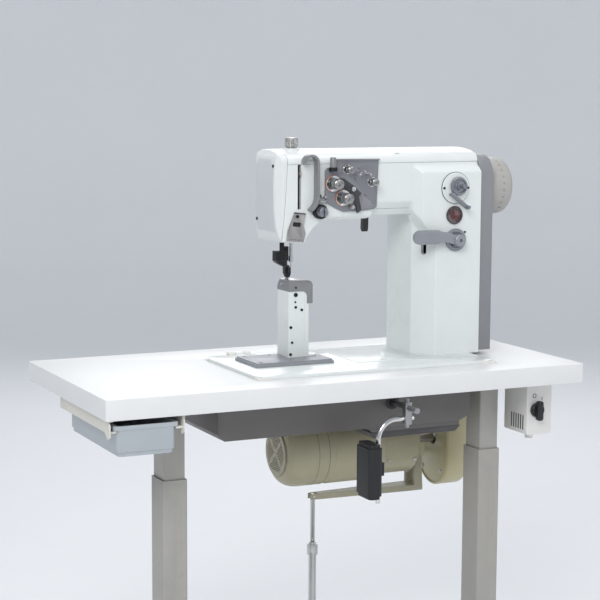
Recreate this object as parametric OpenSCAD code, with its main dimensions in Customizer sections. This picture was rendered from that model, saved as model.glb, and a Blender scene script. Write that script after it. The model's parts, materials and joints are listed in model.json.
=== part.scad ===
// Post-bed industrial sewing machine on a height-adjustable stand.
// Origin: on the floor under the middle of the table. +X towards the handwheel, -Y towards the operator.

/* [Table] */
// Width of the table top, left to right
table_w = 1060; // [1040:5:1200]
// Depth of the table top, front to back
table_d = 500; // [500:5:560]
// Thickness of the table top
table_t = 40; // [36:1:40]
// Height of the table's upper face above the floor
table_h = 800; // [790:5:830]

/* [Stand] */
// Length of each floor runner, front to back
foot_len = 570; // [540:5:600]
// Height of the top end of the outer leg tubes
leg_joint_z = 605; // [590:1:620]
// Height of the treadle's hinge above the floor
treadle_z = 95; // [92:1:100]

/* [Machine head] */
// Height of the arm shaft above the table
shaft_z = 362; // [358:1:366]
// Height of the arm's underside above the table
arm_z = 308; // [304:1:310]
// Height of the post's needle plate above the table
post_z = 177; // [175:1:178]
// Radius of the handwheel
handwheel_r = 62; // [56:1:64]

/* [Drive] */
// Radius of the motor's casing
motor_r = 77; // [72:1:77]
// Height of the motor's shaft above the floor
motor_h = 588; // [586:1:590]

/* [Drawer] */
// Length of the drawer, front to back
drawer_len = 286; // [240:2:300]
// Depth of the drawer's body below its rim
drawer_depth = 50; // [40:1:56]

/* [Hidden] */
$fn = 64;

// fits
run_gap = 0.05;      // radial clearance of a running fit
free_gap = 0.5;      // clearance between pieces that only pass each other

// table
table_under = -table_t;
cut_x0 = -184.5;
cut_x1 = 365.5;
cut_y0 = -166.5;
cut_y1 = 121.5;
recess_z = -12;
hole_x0 = -170;
hole_x1 = 316;
hole_y0 = -124;
slot_x0 = 387;
slot_x1 = 415;
slot_y0 = 8;
slot_y1 = 136;

// stand
leg_x = [-345, 378];
leg_y = -91;
outer_w = 52;
outer_d = 67;
inner_w = 45;
inner_d = 60;
tube_wall = 3;
inner_low_z = 425;
pad_h = 14;
foot_h = 40;
foot_w = 60;
foot_top = pad_h + foot_h;
bar_y0 = 40;
bar_y1 = 80;
bar_z = 20;
bar_h = 40;
flange_x = [[-368, -262], [325, 432]];
flange_t = 6;

// treadle
treadle_x0 = -140;
treadle_x1 = 100;
treadle_half = 105;
treadle_pin_r = 6;
pitman_x = 65;
pitman_y = 100;
ball_r = 7;
ball_z = treadle_z + 21;
rod_low_z = 205;
tube_top_z = 380;

// motor, clutch lever and belt
motor_y = 100;
motor_z = motor_h - table_h;
rotor_r = 52;
motor_x0 = -22;
rotor_x0 = 60;
rotor_x1 = 210;
belt_x = 400;
belt_w = 8;
head_groove_r = 38;
motor_groove_r = 26;
groove_deep = 7;
clutch_x = 314;
clutch_z = motor_z - 15;
lever_z = motor_z - 99;
lever_t = 12;

// switch knob
switch_x = 459;
switch_z = -106;

// knee lever
knee_x = 132;
drop_x = 66;
knee_z = -72;
knee_y = -202;

// machine head
needle_x = -27;
needle_y = 22;
presser_x = -48;
bed_x0 = -183;
bed_x1 = 364;
bed_y0 = -165;
bed_y1 = 120;
bed_top = 6;
bed_low = -10;
hinge_y = 126;
hinge_z = 2;
hinge_x = [-100, 290];
arm_y0 = -40;
arm_y1 = 85;
arm_top = 418;
col_x0 = 245;
col_x1 = 386;
col_y0 = -58;
col_y1 = 104;
front_wall = 9;
shaft_r = 9;
hook_x = -15.5;
hook_y = 20;
hook_r = 9.5;
lower_z = -56;
hanger_x = [20, 254];
pulley_x = 298;
post_x0 = -48;
post_x1 = -1;
post_y0 = -13;
post_y1 = 44;
cap_z = 153;
base_screws = [[-128, 36], [-128, -50], [22, 38], [-70, 36]];
guard_x1 = 418;
base_top = 15;
feed_r = 12;
feed_z = post_z + 1 - feed_r;
roller_r = 14;
roller_z = feed_z + feed_r + roller_r + 0.4;
roller_x = -36;
winder_x = 322;
winder_z = 364;
spindle_x = 327;
spindle_z = 368;
winder_pivot = [308, 350];
dial_x = 323;
dial_z = 253;
takeup_y = 45;
takeup_z = 372;
takeup_x = -37.2;

// x and z of the thread tension posts on the front of the arm
upper_tension = [37, 378];
lower_tension = [60, 348];
left_pretension = [70, 407];
right_pretension = [127, 380];
check_spring = [7, 321];
plate_front = arm_y0 - 4;
belly_z = arm_z - 6;

// ---------- shape helpers ----------

// places a shape drawn above the table's upper face
module at_top() {
  translate([0, 0, table_h]) children();
}

// rounded rectangle, centred
module rrect(w, d, r) {
  square([w - 2 * r, d], center = true);
  square([w, d - 2 * r], center = true);
  for (x = [-1, 1], y = [-1, 1])
    translate([x * (w / 2 - r), y * (d / 2 - r)]) circle(r);
}

// box with rounded upright edges, given by its low and high corners
module rbox(a, b, r) {
  translate([(a[0] + b[0]) / 2, (a[1] + b[1]) / 2, a[2]])
    linear_extrude(b[2] - a[2]) rrect(b[0] - a[0], b[1] - a[1], r);
}

// plain box, given by its low and high corners
module box(a, b) {
  translate(a) cube(b - a);
}

// cylinder along X from x0 to x1, through a point given as [y, z]
module along_x(p, x0, x1, r) {
  translate([x0, p[0], p[1]]) rotate([0, 90, 0]) cylinder(h = x1 - x0, r = r);
}

// cylinder along Y from y0 to y1, through a point given as [x, z]
module along_y(p, y0, y1, r) {
  translate([p[0], y1, p[1]]) rotate([90, 0, 0]) cylinder(h = y1 - y0, r = r);
}

// cylinder along Z from z0 to z1, through a point given as [x, y]
module along_z(p, z0, z1, r) {
  translate([p[0], p[1], z0]) cylinder(h = z1 - z0, r = r);
}

// outline drawn in X and Z, extruded from y0 to y1
module side_x(y0, y1) {
  translate([0, y1, 0]) rotate([90, 0, 0]) linear_extrude(y1 - y0) children();
}

// outline drawn in Y and Z, extruded from x0 to x1
module side_y(x0, x1) {
  translate([x0, 0, 0]) rotate([90, 0, 90]) linear_extrude(x1 - x0) children();
}

// outline of radius and length, turned about a line along X
module turned_x(p, x0) {
  translate([x0, p[0], p[1]]) rotate([0, 90, 0]) rotate_extrude() children();
}

// outline of radius and height, turned about a line along -Y that starts at y0
module turned_y(p, y0) {
  translate([p[0], y0, p[1]]) rotate([90, 0, 0]) rotate_extrude() children();
}

// outline of a knob: radius, length, edge bevel and bore
module knob_outline(r, h, bevel, bore) {
  polygon([[bore, 0], [r, 0], [r, h - bevel], [r - bevel, h], [bore, h]]);
}

// ---------- stand ----------

module stand_feet() {
  color([0.62, 0.61, 0.58]) for (x = leg_x) difference() {
    rbox([x - foot_w / 2, -foot_len / 2, pad_h], [x + foot_w / 2, foot_len / 2, foot_top], 12);
    box([x - foot_w / 2 + 4, -foot_len / 2 + 60, pad_h - 1],
        [x + foot_w / 2 - 4, foot_len / 2 - 60, foot_top - 4]);
  }
}

module foot_pads() {
  color([0.1, 0.1, 0.1]) for (x = leg_x, s = [-1, 1])
    translate([x, s * (foot_len / 2 - 30), 0]) rotate_extrude()
      polygon([[0, 0], [20, 0], [22, 3], [22, 9], [18, pad_h], [0, pad_h]]);
}

module lower_leg_tubes() {
  slot_w = 14;
  color([0.64, 0.63, 0.6]) for (x = leg_x) difference() {
    rbox([x - outer_w / 2, leg_y - outer_d / 2, foot_top],
         [x + outer_w / 2, leg_y + outer_d / 2, leg_joint_z], 4);
    rbox([x - outer_w / 2 + tube_wall, leg_y - outer_d / 2 + tube_wall, foot_top - 1],
         [x + outer_w / 2 - tube_wall, leg_y + outer_d / 2 - tube_wall, leg_joint_z + 1], 1.5);
    side_x(leg_y - outer_d / 2 - 1, leg_y - outer_d / 2 + 1.2)
      translate([x + 6, leg_joint_z - 120]) rrect(slot_w, 160, slot_w / 2 - 0.1);
  }
}

module stand_crossbar() {
  lug_t = 6;
  color([0.62, 0.61, 0.58]) {
    difference() {
      box([leg_x[0] + foot_w / 2, bar_y0, bar_z], [leg_x[1] - foot_w / 2, bar_y1, bar_z + bar_h]);
      box([leg_x[0] + foot_w / 2 + 8, bar_y0 + 3, bar_z + 3],
          [leg_x[1] - foot_w / 2 - 8, bar_y1 - 3, bar_z + bar_h - 3]);
    }
    for (x = [treadle_x0 - 10, treadle_x1 + 10 - lug_t]) difference() {
      union() {
        side_y(x, x + lug_t)
          polygon([[bar_y1, bar_z + bar_h], [bar_y0, bar_z + bar_h], [-10, treadle_z - 9],
                   [-10, treadle_z + 9], [10, treadle_z + 11], [bar_y1, treadle_z - 10]]);
        along_x([0, treadle_z], x, x + lug_t, 14);
      }
      along_x([0, treadle_z], x - 1, x + lug_t + 1, treadle_pin_r + run_gap);
    }
  }
}

module treadle_plate() {
  rib_count = 9;
  rib_gap = 22;
  plate_z = treadle_z + 4;
  color([0.2, 0.2, 0.21]) {
    difference() {
      union() {
        rbox([treadle_x0, -treadle_half, plate_z], [treadle_x1, treadle_half, plate_z + 6], 14);
        along_x([0, treadle_z], treadle_x0 + 4, treadle_x1 - 4, 11);
        for (i = [0:rib_count - 1])
          rbox([treadle_x0 + 14, -93 + i * rib_gap, plate_z + 6],
               [treadle_x1 - (i > 6 ? 64 : 14), -87 + i * rib_gap, plate_z + 9], 2.9);
        along_z([pitman_x, pitman_y - 8], plate_z, plate_z + 6, 22);
      }
      for (x = [-100, 60]) along_z([x, 60], plate_z - 1, plate_z + 10, 5);
    }
    along_z([pitman_x, pitman_y], plate_z + 6, ball_z, 4);
    translate([pitman_x, pitman_y, ball_z]) sphere(ball_r);
    along_x([0, treadle_z], treadle_x0 - 12, treadle_x1 + 12, treadle_pin_r);
  }
}

// ---------- table ----------

// through openings: the oil pan's mouth, the belt slot and the two hinge pockets
module cut_out() {
  pocket = 16;
  translate([hole_x0, hole_y0]) square([hole_x1 - hole_x0, cut_y1 - hole_y0]);
  translate([slot_x0, slot_y0]) square([slot_x1 - slot_x0, slot_y1 - slot_y0]);
  for (x = hinge_x) translate([x - 26, cut_y1 - 1]) square([52, pocket + 1]);
}

module table_top() {
  color([0.95, 0.95, 0.94]) at_top() difference() {
    translate([0, 0, table_under]) linear_extrude(table_t) difference() {
      rrect(table_w, table_d, 5);
      cut_out();
    }
    box([cut_x0, cut_y0, recess_z], [cut_x1, cut_y1, 1]);
  }
}

module upper_leg_tubes() {
  top = table_h + table_under;
  color([0.66, 0.65, 0.62]) for (i = [0, 1]) {
    x = leg_x[i];
    difference() {
      union() {
        rbox([x - inner_w / 2, leg_y - inner_d / 2, inner_low_z],
             [x + inner_w / 2, leg_y + inner_d / 2, top - flange_t], 4);
        rbox([flange_x[i][0], leg_y - 94, top - flange_t], [flange_x[i][1], leg_y + 94, top], 6);
      }
      rbox([x - inner_w / 2 + tube_wall, leg_y - inner_d / 2 + tube_wall, inner_low_z - 1],
           [x + inner_w / 2 - tube_wall, leg_y + inner_d / 2 - tube_wall, top - flange_t], 1.5);
    }
  }
}

module oil_pan() {
  x0 = -256;
  x1 = 324;
  y0 = -130;
  y1 = 150;
  low = -125;
  wall = 2.5;
  sump_x0 = 85;
  sump_x1 = 300;
  sump_low = -147;
  outline = [[x0, -40], [x0, low + 14], [x0 + 14, low], [x1 - 26, low],
             [x1 - 8, low + 8], [x1, low + 26], [x1, -40]];
  inside = [[x0 + wall, -39], [x0 + wall, low + 15], [x0 + 15, low + wall], [x1 - 27, low + wall],
            [x1 - 10, low + 10], [x1 - wall, low + 27], [x1 - wall, -39]];
  sump = [[sump_x0, low + 1], [sump_x0 + 12, sump_low], [sump_x1 - 12, sump_low],
          [sump_x1, sump_low + 10], [sump_x1, low + 1]];
  sump_in = [[sump_x0 + wall, low + 4], [sump_x0 + 14, sump_low + wall],
             [sump_x1 - 14, sump_low + wall], [sump_x1 - wall, sump_low + 11],
             [sump_x1 - wall, low + 4]];
  color([0.44, 0.42, 0.41]) at_top() difference() {
    union() {
      side_x(y0, y1) polygon(outline);
      side_x(y0 + 4, 10) polygon(sump);
      box([x0 + 4, y0 - 7, -43], [x1 - 4, y0 + 1, -40]);
      along_y([knee_x, knee_z], y0 - 6, y0 + 14, 15);
    }
    side_x(y0 + wall, y1 - wall) polygon(inside);
    side_x(y0 + 4 + wall, 10 - wall) polygon(sump_in);
    along_y([knee_x, knee_z], y0 - 7, y0 + 15, 6 + run_gap);
  }
  color([0.3, 0.3, 0.3]) at_top() difference() {
    along_y([knee_x, knee_z], y0 + wall, y0 + 14, 13);
    along_y([knee_x, knee_z], y0, y0 + 15, 6 + run_gap);
  }
}

module drawer_runners() {
  y0 = -238;
  y1 = 56;
  rail = [[-522, -40], [-522, -66], [-506, -66], [-506, -62], [-519, -62], [-519, -44], [-512, -44],
          [-512, -40]];
  far_rail = [[-371, -46.5], [-371, -66], [-387, -66], [-387, -62], [-374, -62], [-374, -46.5]];
  lip = [[-374, -40], [-374, -47], [-368.5, -47], [-368.5, -40]];
  color([0.86, 0.85, 0.8]) at_top() {
    side_x(y0, y1) polygon(rail);
    side_x(y0, y1) polygon(far_rail);
    side_x(y0, y1) polygon(lip);
    for (x = [-522, -374]) difference() {
      side_y(x, x + 3) polygon([[y0, -44], [y0 - 6, -50], [y0 - 6, -72], [y0 + 4, -78],
                                [y0 + 22, -66], [y0 + 22, -60], [y0 + 4, -60], [y0 + 4, -44]]);
      box([-380, y0 - 8, -46.5], [-368, y0 + 30, -40]);
    }
  }
}

module drawer_tray() {
  y0 = -240;
  x0 = -504.5;
  x1 = -388.5;
  wall = 2.5;
  rim_z = -61.6;
  low = rim_z - drawer_depth;
  color([0.76, 0.78, 0.8]) at_top() difference() {
    union() {
      rbox([x0 - 7, y0, rim_z], [x1 + 7, y0 + drawer_len, rim_z + 9], 6);
      rbox([x0 + 3, y0 + 3, low], [x1 - 3, y0 + drawer_len - 6, low + 9], 8);
      rbox([x0, y0 + 1, low + 8], [x1, y0 + drawer_len - 4, rim_z + 1], 8);
    }
    rbox([x0 + wall, y0 + 3.5, low + 8.5], [x1 - wall, y0 + drawer_len - 4 - wall, rim_z + 10], 6);
    rbox([x0 + 6, y0 + 6, low + wall], [x1 - 6, y0 + drawer_len - 9, low + 10], 6);
  }
}

module switch_box() {
  x0 = 436;
  x1 = 498;
  y0 = -178;
  y1 = -90;
  low = -160;
  wall = 2.5;
  color([0.9, 0.89, 0.86]) at_top() difference() {
    union() {
      side_x(y0, y1) translate([(x0 + x1) / 2, (low - 40) / 2]) rrect(x1 - x0, -40 - low, 5);
      box([x1 - 4, y0 + 10, -46], [x1 + 12, y1 - 10, -40]);
      along_y([switch_x, switch_z], y0 - 1.5, y0 + 6, 20);
    }
    side_x(y0 + wall, y1 - wall)
      translate([(x0 + x1) / 2, (low - 40) / 2]) rrect(x1 - x0 - 2 * wall, -40 - low - 2 * wall, 3);
    along_y([switch_x, switch_z], y0 - 3, y0 + 7, 5 + run_gap);
  }
  color([0.12, 0.12, 0.12]) at_top() {
    along_z([467, -140], low - 5, low, 11);
    along_z([467, -140], low - 14, low - 5, 8.5);
  }
}

module switch_knob() {
  color([0.08, 0.08, 0.08]) at_top() {
    turned_y([switch_x, switch_z], -180) knob_outline(15.5, 9, 1.5, 0);
    side_x(-197, -188) translate([switch_x, switch_z]) rrect(14, 42, 5);
    along_y([switch_x, switch_z], -180.5, -166, 5);
  }
}

module bed_supports() {
  pad = 34;
  color([0.82, 0.8, 0.72]) at_top() {
    for (x = [cut_x0, cut_x1 - pad]) difference() {
      box([x, cut_y0, recess_z], [x + pad, cut_y0 + pad, 3.5]);
      rbox([bed_x0 - free_gap, bed_y0 - free_gap, bed_low - 0.3],
           [bed_x1 + free_gap, bed_y1, 20], 26 + free_gap);
    }
  }
  color([0.35, 0.35, 0.36]) at_top() for (x = hinge_x) {
    for (s = [-1, 1]) translate([x + s * 18, 0, 0]) {
      along_x([hinge_y, hinge_z], -7, 7, 8);
      box([-7, hinge_y, hinge_z - 8], [7, cut_y1 + 16, hinge_z + 8]);
    }
    along_x([hinge_y, hinge_z], x - 20, x + 20, 4.95);
  }
}

// ---------- drive under the table ----------

module motor_housing() {
  x0 = motor_x0;
  x1 = 300;
  bore = 20;
  color([0.66, 0.64, 0.53]) at_top() difference() {
    union() {
      turned_x([motor_y, motor_z], x0)
        polygon(concat([[0, 0], [52, 0]],
                       [for (a = [0:10:90]) [52 + (motor_r - 52) * sin(a), 38 * (1 - cos(a))]],
                       [[motor_r, 92], [motor_r - 1.5, 93], [motor_r - 1.5, 106], [motor_r, 107],
                        [motor_r, 226], [motor_r - 3, 229], [motor_r - 9, 229],
                        [motor_r - 9, x1 - x0 - 8], [motor_r - 17, x1 - x0], [0, x1 - x0]]));
      for (s = [-1, 1]) box([x1 - 2, motor_y + s * 32 - 6, clutch_z - 14],
                            [x1 + 24, motor_y + s * 32 + 6, clutch_z + 16]);
    }
    // air intake, and the space that the rotor turns in between the windings
    turned_x([motor_y, motor_z], x0 - 1)
      polygon([[0, 0], [44, 0], [44, 9], [bore, 24], [bore, rotor_x0 - x0 - 1],
               [rotor_r + 1, rotor_x0 - x0 - 1], [rotor_r + 1, rotor_x1 - x0 + 3],
               [bore, rotor_x1 - x0 + 3], [bore, x1 - x0 - 18], [0, x1 - x0 - 18]]);
    along_x([motor_y, motor_z], x1 - 30, x1 + 1, 9 + run_gap);
  }
  color([0.66, 0.64, 0.53]) at_top() for (s = [-1, 1])
    along_y([clutch_x, clutch_z], s > 0 ? motor_y + 14 : motor_y - 26,
            s > 0 ? motor_y + 26 : motor_y - 14, 5);
}

module motor_fan_cover() {
  x0 = motor_x0 - 4;
  x1 = motor_x0;
  color([0.72, 0.7, 0.6]) at_top() difference() {
    along_x([motor_y, motor_z], x0, x1, 51);
    // ring-shaped grooves, bridged by a cross
    for (r = [9:9:36]) difference() {
      along_x([motor_y, motor_z], x0 - 1, x0 + 1, r + 5);
      along_x([motor_y, motor_z], x0 - 2, x0 + 2, r);
      for (a = [45, 135]) translate([x0, motor_y, motor_z]) rotate([a, 0, 0])
        box([-2, -2.5, -50], [8, 2.5, 50]);
    }
  }
}

module motor_bracket() {
  color([0.5, 0.49, 0.43]) at_top() difference() {
    union() {
      box([90, 158, -50], [250, 244, table_under]);
      box([120, 160, motor_z], [220, 176, -50]);
      for (x = [120, 212]) side_y(x, x + 8) polygon([[176, -50], [240, -50], [176, -150]]);
    }
    along_x([motor_y, motor_z], 80, 260, motor_r);
  }
}

module belt_cover() {
  x0 = 366;
  x1 = 418;
  wall = 3;
  r = 70;
  low_z = motor_z - 36;
  top = -152;
  color([0.78, 0.75, 0.55]) at_top() {
    difference() {
      side_y(x0, x1) union() {
        translate([motor_y, low_z]) circle(r);
        translate([motor_y - r, low_z]) square([2 * r, top - low_z]);
      }
      side_y(x0 + wall, x1 - wall) union() {
        translate([motor_y, low_z]) circle(r - wall);
        translate([motor_y - r + wall, low_z]) square([2 * (r - wall), 120]);
      }
      along_x([motor_y, motor_z], x0 - 1, x0 + wall + 1, 14);
    }
    box([300, motor_y + 30, motor_z + 30], [x0, motor_y + 42, motor_z + 38]);
    along_x([motor_y + 40, motor_z - 34], 300, x0, 5);
  }
}

module motor_pulley() {
  half = belt_w / 2;
  r = motor_groove_r;
  color([0.7, 0.71, 0.72]) at_top() {
    turned_x([motor_y, motor_z], belt_x - half - 4)
      polygon([[0, 0], [r + groove_deep, 0], [r + groove_deep, 3.4], [r, 3.8], [r, belt_w + 4.2],
               [r + groove_deep, belt_w + 4.6], [r + groove_deep, belt_w + 8], [0, belt_w + 8]]);
    along_x([motor_y, motor_z], 10, belt_x + 12, 9);
    along_x([motor_y, motor_z], rotor_x0, rotor_x1, rotor_r);
  }
}

module drive_belt() {
  big = head_groove_r + free_gap;
  small = motor_groove_r + free_gap;
  color([0.09, 0.09, 0.09]) at_top() side_y(belt_x - belt_w / 2, belt_x + belt_w / 2) difference() {
    hull() {
      translate([needle_y, shaft_z]) circle(big + groove_deep);
      translate([motor_y, motor_z]) circle(small + groove_deep);
    }
    hull() {
      translate([needle_y, shaft_z]) circle(big);
      translate([motor_y, motor_z]) circle(small);
    }
  }
}

module clutch_lever() {
  color([0.62, 0.6, 0.5]) at_top() difference() {
    union() {
      for (y = [motor_y - 24, motor_y + 16]) {
        side_x(y, y + 8) polygon([[clutch_x - 7, clutch_z], [clutch_x + 10, clutch_z],
                                  [clutch_x + 14, lever_z - lever_t],
                                  [clutch_x - 20, lever_z - lever_t], [clutch_x - 7, lever_z]]);
        along_y([clutch_x, clutch_z], y, y + 8, 11);
      }
      translate([0, 0, lever_z - lever_t]) linear_extrude(lever_t)
        polygon([[clutch_x + 14, motor_y - 24], [clutch_x + 14, motor_y + 24],
                 [clutch_x - 22, motor_y + 24], [pitman_x, motor_y + 11],
                 [pitman_x, motor_y - 11], [clutch_x - 22, motor_y - 24]]);
      along_z([pitman_x, motor_y], lever_z - lever_t, lever_z, 11);
    }
    along_y([clutch_x, clutch_z], motor_y - 40, motor_y + 40, 5 + run_gap);
    box([pitman_x - 12, motor_y - 6.2, lever_z - 20], [pitman_x + 12, motor_y + 6.2, lever_z + 1]);
    along_y([pitman_x, lever_z - lever_t / 2], motor_y - 14, motor_y + 14, 3);
  }
}

module pitman_rod() {
  eye_z = lever_z - lever_t / 2;
  color([0.75, 0.76, 0.77]) at_top() {
    along_y([pitman_x, eye_z], pitman_y - 5.6, pitman_y + 5.6, 5.6);
    along_y([pitman_x, eye_z], pitman_y - 10, pitman_y + 10, 2.95);
    along_z([pitman_x, pitman_y], -table_h + rod_low_z, eye_z, 5);
  }
}

module pitman_tube() {
  cup_r = 15;
  bell_z = ball_z - 4;
  color([0.55, 0.56, 0.57]) difference() {
    union() {
      along_z([pitman_x, pitman_y], bell_z + 18, tube_top_z, 8.5);
      along_z([pitman_x, pitman_y], tube_top_z - 28, tube_top_z - 4, 12);
      translate([pitman_x, pitman_y, bell_z]) rotate_extrude()
        polygon([[0, 0], [cup_r, 0], [cup_r, 14], [9, 22], [0, 22]]);
    }
    along_z([pitman_x, pitman_y], bell_z - 1, bell_z + 13, cup_r - 1.8);
    along_z([pitman_x, pitman_y], bell_z + 22, tube_top_z + 1, 5 + run_gap);
  }
}

// ---------- knee lever ----------

module knee_shaft() {
  color([0.6, 0.61, 0.62]) at_top() {
    along_y([knee_x, knee_z], -244, -72, 6);
    side_x(-90, -80) polygon([[knee_x - 8, knee_z - 8], [knee_x + 8, knee_z - 8],
                              [knee_x + 5, knee_z + 26], [knee_x - 5, knee_z + 26]]);
    difference() {
      rbox([knee_x - 8, knee_y - 9, knee_z - 34], [knee_x + 8, knee_y + 9, knee_z + 12], 4);
      along_x([knee_y, knee_z - 22], knee_x - 9, knee_x + 9, 5);
    }
    along_z([knee_x, knee_y], knee_z + 12, knee_z + 19, 4.5);
    along_z([knee_x, knee_y], knee_z - 41, knee_z - 34, 4.5);
  }
}

module knee_rod() {
  bend = 40;
  rod_z = knee_z - 22;
  color([0.8, 0.81, 0.82]) at_top() {
    along_x([knee_y, rod_z], drop_x + bend, knee_x + 14, 5);
    translate([drop_x + bend, knee_y, rod_z - bend]) rotate([90, 0, 0]) rotate([0, 0, 90])
      rotate_extrude(angle = 90) translate([bend, 0]) circle(5);
    along_z([drop_x, knee_y], -265, rod_z - bend, 5);
  }
}

module knee_pad() {
  low = -250;
  high = -138;
  color([0.06, 0.06, 0.07]) at_top() difference() {
    union() {
      rbox([drop_x - 36, knee_y - 32, low + 7], [drop_x - 5, knee_y + 32, high - 7], 9);
      rbox([drop_x - 33, knee_y - 29, low], [drop_x - 8, knee_y + 29, high], 8);
    }
    along_z([drop_x, knee_y], low - 1, high + 1, 5);
  }
  color([0.5, 0.5, 0.5]) at_top() difference() {
    rbox([drop_x - 5, knee_y - 12, -206], [drop_x + 9, knee_y + 12, -180], 3);
    along_z([drop_x, knee_y], -207, -179, 5);
  }
}

// ---------- machine head: castings and covers ----------

module bed_plate() {
  color([0.93, 0.94, 0.93]) at_top() difference() {
    union() {
      rbox([bed_x0, bed_y0, bed_low], [bed_x1, bed_y1, bed_top], 26);
      rbox([80, -84, bed_top], [206, 66, bed_top + 1.2], 6);
      for (x = hanger_x) side_y(x, x + 20)
        polygon([[hook_y - 24, bed_low], [hook_y + 24, bed_low], [hook_y + 15, lower_z - 15],
                 [hook_y - 15, lower_z - 15]]);
      along_z([hook_x, hook_y], -34, bed_low, 16);
    }
    for (x = hinge_x) box([x - 27, hinge_y - 14, -20], [x + 27, bed_y1 + 1, 20]);
    for (x = hanger_x) along_x([hook_y, lower_z], x - 1, x + 21, 8 + run_gap);
    along_z([hook_x, hook_y], -35, bed_top + 1, 7 + run_gap);
    box([pulley_x - 8, hook_y - 34, bed_low - 1], [pulley_x + 22, hook_y + 34, bed_top + 1]);
    along_z([150, -70], bed_top - 1, bed_top + 2, 4);
  }
  color([0.93, 0.94, 0.93]) at_top() for (x = hinge_x) difference() {
    union() {
      along_x([hinge_y, hinge_z], x - 10, x + 10, 8);
      box([x - 10, hinge_y - 14, -6], [x + 10, hinge_y, bed_top]);
    }
    along_x([hinge_y, hinge_z], x - 11, x + 11, 5);
  }
}

// outline of the arm's cross-section, in Y and Z
module arm_section() {
  polygon([[arm_y0, arm_top], [arm_y0, arm_z + 29], [arm_y0 + 18, arm_z], [arm_y1 - 18, arm_z],
           [arm_y1, arm_z + 29], [arm_y1, arm_top]]);
}

// outline of the needle end of the arm, in X and Z, with its rounded throat
module head_profile() {
  throat_r = 75;
  difference() {
    polygon([[-64, arm_top], [-68, 347], [-76, 260], [-27, 256], [60, 256], [60, arm_top]]);
    translate([48, arm_z - throat_r]) circle(throat_r);
    translate([48, 200]) square([30, arm_z - 200]);
  }
}

module arm_casting() {
  color([0.93, 0.94, 0.93]) at_top() difference() {
    union() {
      side_y(-20, 262) arm_section();
      side_x(arm_y0, arm_y1) head_profile();
      intersection() {
        side_x(arm_y0, arm_y1)
          polygon([[30, arm_top - 60], [30, arm_z + 2], [38, belly_z], [124, belly_z],
                   [133, arm_z], [133, arm_top - 60]]);
        side_y(20, 140) polygon([[arm_y0, arm_top - 60], [arm_y0, belly_z + 12],
                                 [arm_y0 + 4, belly_z + 4], [arm_y0 + 14, belly_z],
                                 [arm_y1 - 20, belly_z], [arm_y1, arm_z + 29],
                                 [arm_y1, arm_top - 60]]);
      }
      intersection() {
        translate([0, 0, bed_top]) linear_extrude(arm_top - bed_top)
          polygon([[col_x0, -6], [col_x0 + 32, col_y0], [col_x1, col_y0], [col_x1, col_y1],
                   [col_x0, col_y1]]);
        side_y(col_x0 - 5, col_x1 + 5)
          polygon([[col_y0, 0], [col_y0, arm_top - 20], [arm_y0, arm_top - 4], [arm_y0, arm_top],
                   [arm_y1, arm_top], [arm_y1, arm_top - 4], [col_y1, arm_top - 22], [col_y1, 0]]);
      }
      // raised face of the column beside the arm
      intersection() {
        side_x(col_y0, 0) polygon([[220, arm_top - 12], [220, 330], [262, 262], [300, 262],
                                   [300, arm_top], [232, arm_top]]);
        side_y(215, 305) polygon([[col_y0, 250], [col_y0, arm_top - 20], [arm_y0, arm_top - 4],
                                  [0, arm_top - 4], [0, 250]]);
        translate([0, 0, 250]) linear_extrude(arm_top - 250)
          polygon([[229, 0], [229, arm_y0], [243, col_y0], [302, col_y0], [302, 0]]);
      }
      along_y([winder_x, winder_z], col_y0 - 3, col_y0 + 1, 33);
    }
    // hollow arm, head and column
    box([12, arm_y0 + front_wall, arm_z + 14], [col_x0 + 20, arm_y1 - 9, arm_top + 1]);
    box([-80, arm_y0 + front_wall, 322], [-2, arm_y1 - 9, arm_top + 1]);
    box([-80, arm_y0 + front_wall, 270], [-36, 12, 323]);
    translate([0, 0, bed_top - 1]) linear_extrude(arm_z + 16 - bed_top)
      polygon([[col_x0 + 10, 0], [col_x0 + 26, arm_y0 + 14], [col_x1 - 12, arm_y0 + 14],
               [col_x1 - 12, col_y1 - 12], [col_x0 + 10, col_y1 - 12]]);
    box([col_x0 + 10, arm_y0 + front_wall, arm_z + 14], [col_x1 - 12, arm_y1 - 9, arm_top + 1]);
    // shaft, needle bar and presser bar bores
    along_x([needle_y, shaft_z], -3, 13, shaft_r + run_gap);
    along_x([needle_y, shaft_z], col_x1 - 13, col_x1 + 1, shaft_r + run_gap);
    along_z([needle_x, needle_y], 250, 330, 3.6 + run_gap);
    along_z([presser_x, needle_y], 250, 330, 5 + run_gap);
    // take-up slot
    box([takeup_x - 4, arm_y0 - 1, 326], [takeup_x + 4, arm_y0 + front_wall + 1, arm_top + 1]);
    // lifting lever's pocket under the arm
    box([137, 4, arm_z - 1], [159, 44, arm_z + 15]);
    along_x([24, arm_z + 7], 128, 168, 3 + run_gap);
    // slot in the column's chamfer
    translate([261, -32, 238]) rotate([0, 0, 31.6]) side_y(-6, 14) rrect(13, 34, 6.4);
    // winder, reverse lever and check spring bores
    along_y([spindle_x, spindle_z], col_y0 - 4, arm_y0 + 16, 5 + run_gap);
    along_y([dial_x, dial_z], col_y0 - 1, arm_y0 + 16, 6 + run_gap);
    along_y(winder_pivot, col_y0 - 4, col_y0 + 8, 3 + run_gap);
  }
  // bracket for the take-up lever's pin
  color([0.93, 0.94, 0.93]) at_top() difference() {
    box([-62, takeup_y - 9, takeup_z - 10], [-54.5, arm_y1 - 9, takeup_z + 10]);
    along_x([takeup_y, takeup_z], -63, -54, 4 + run_gap);
  }
}

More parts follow.
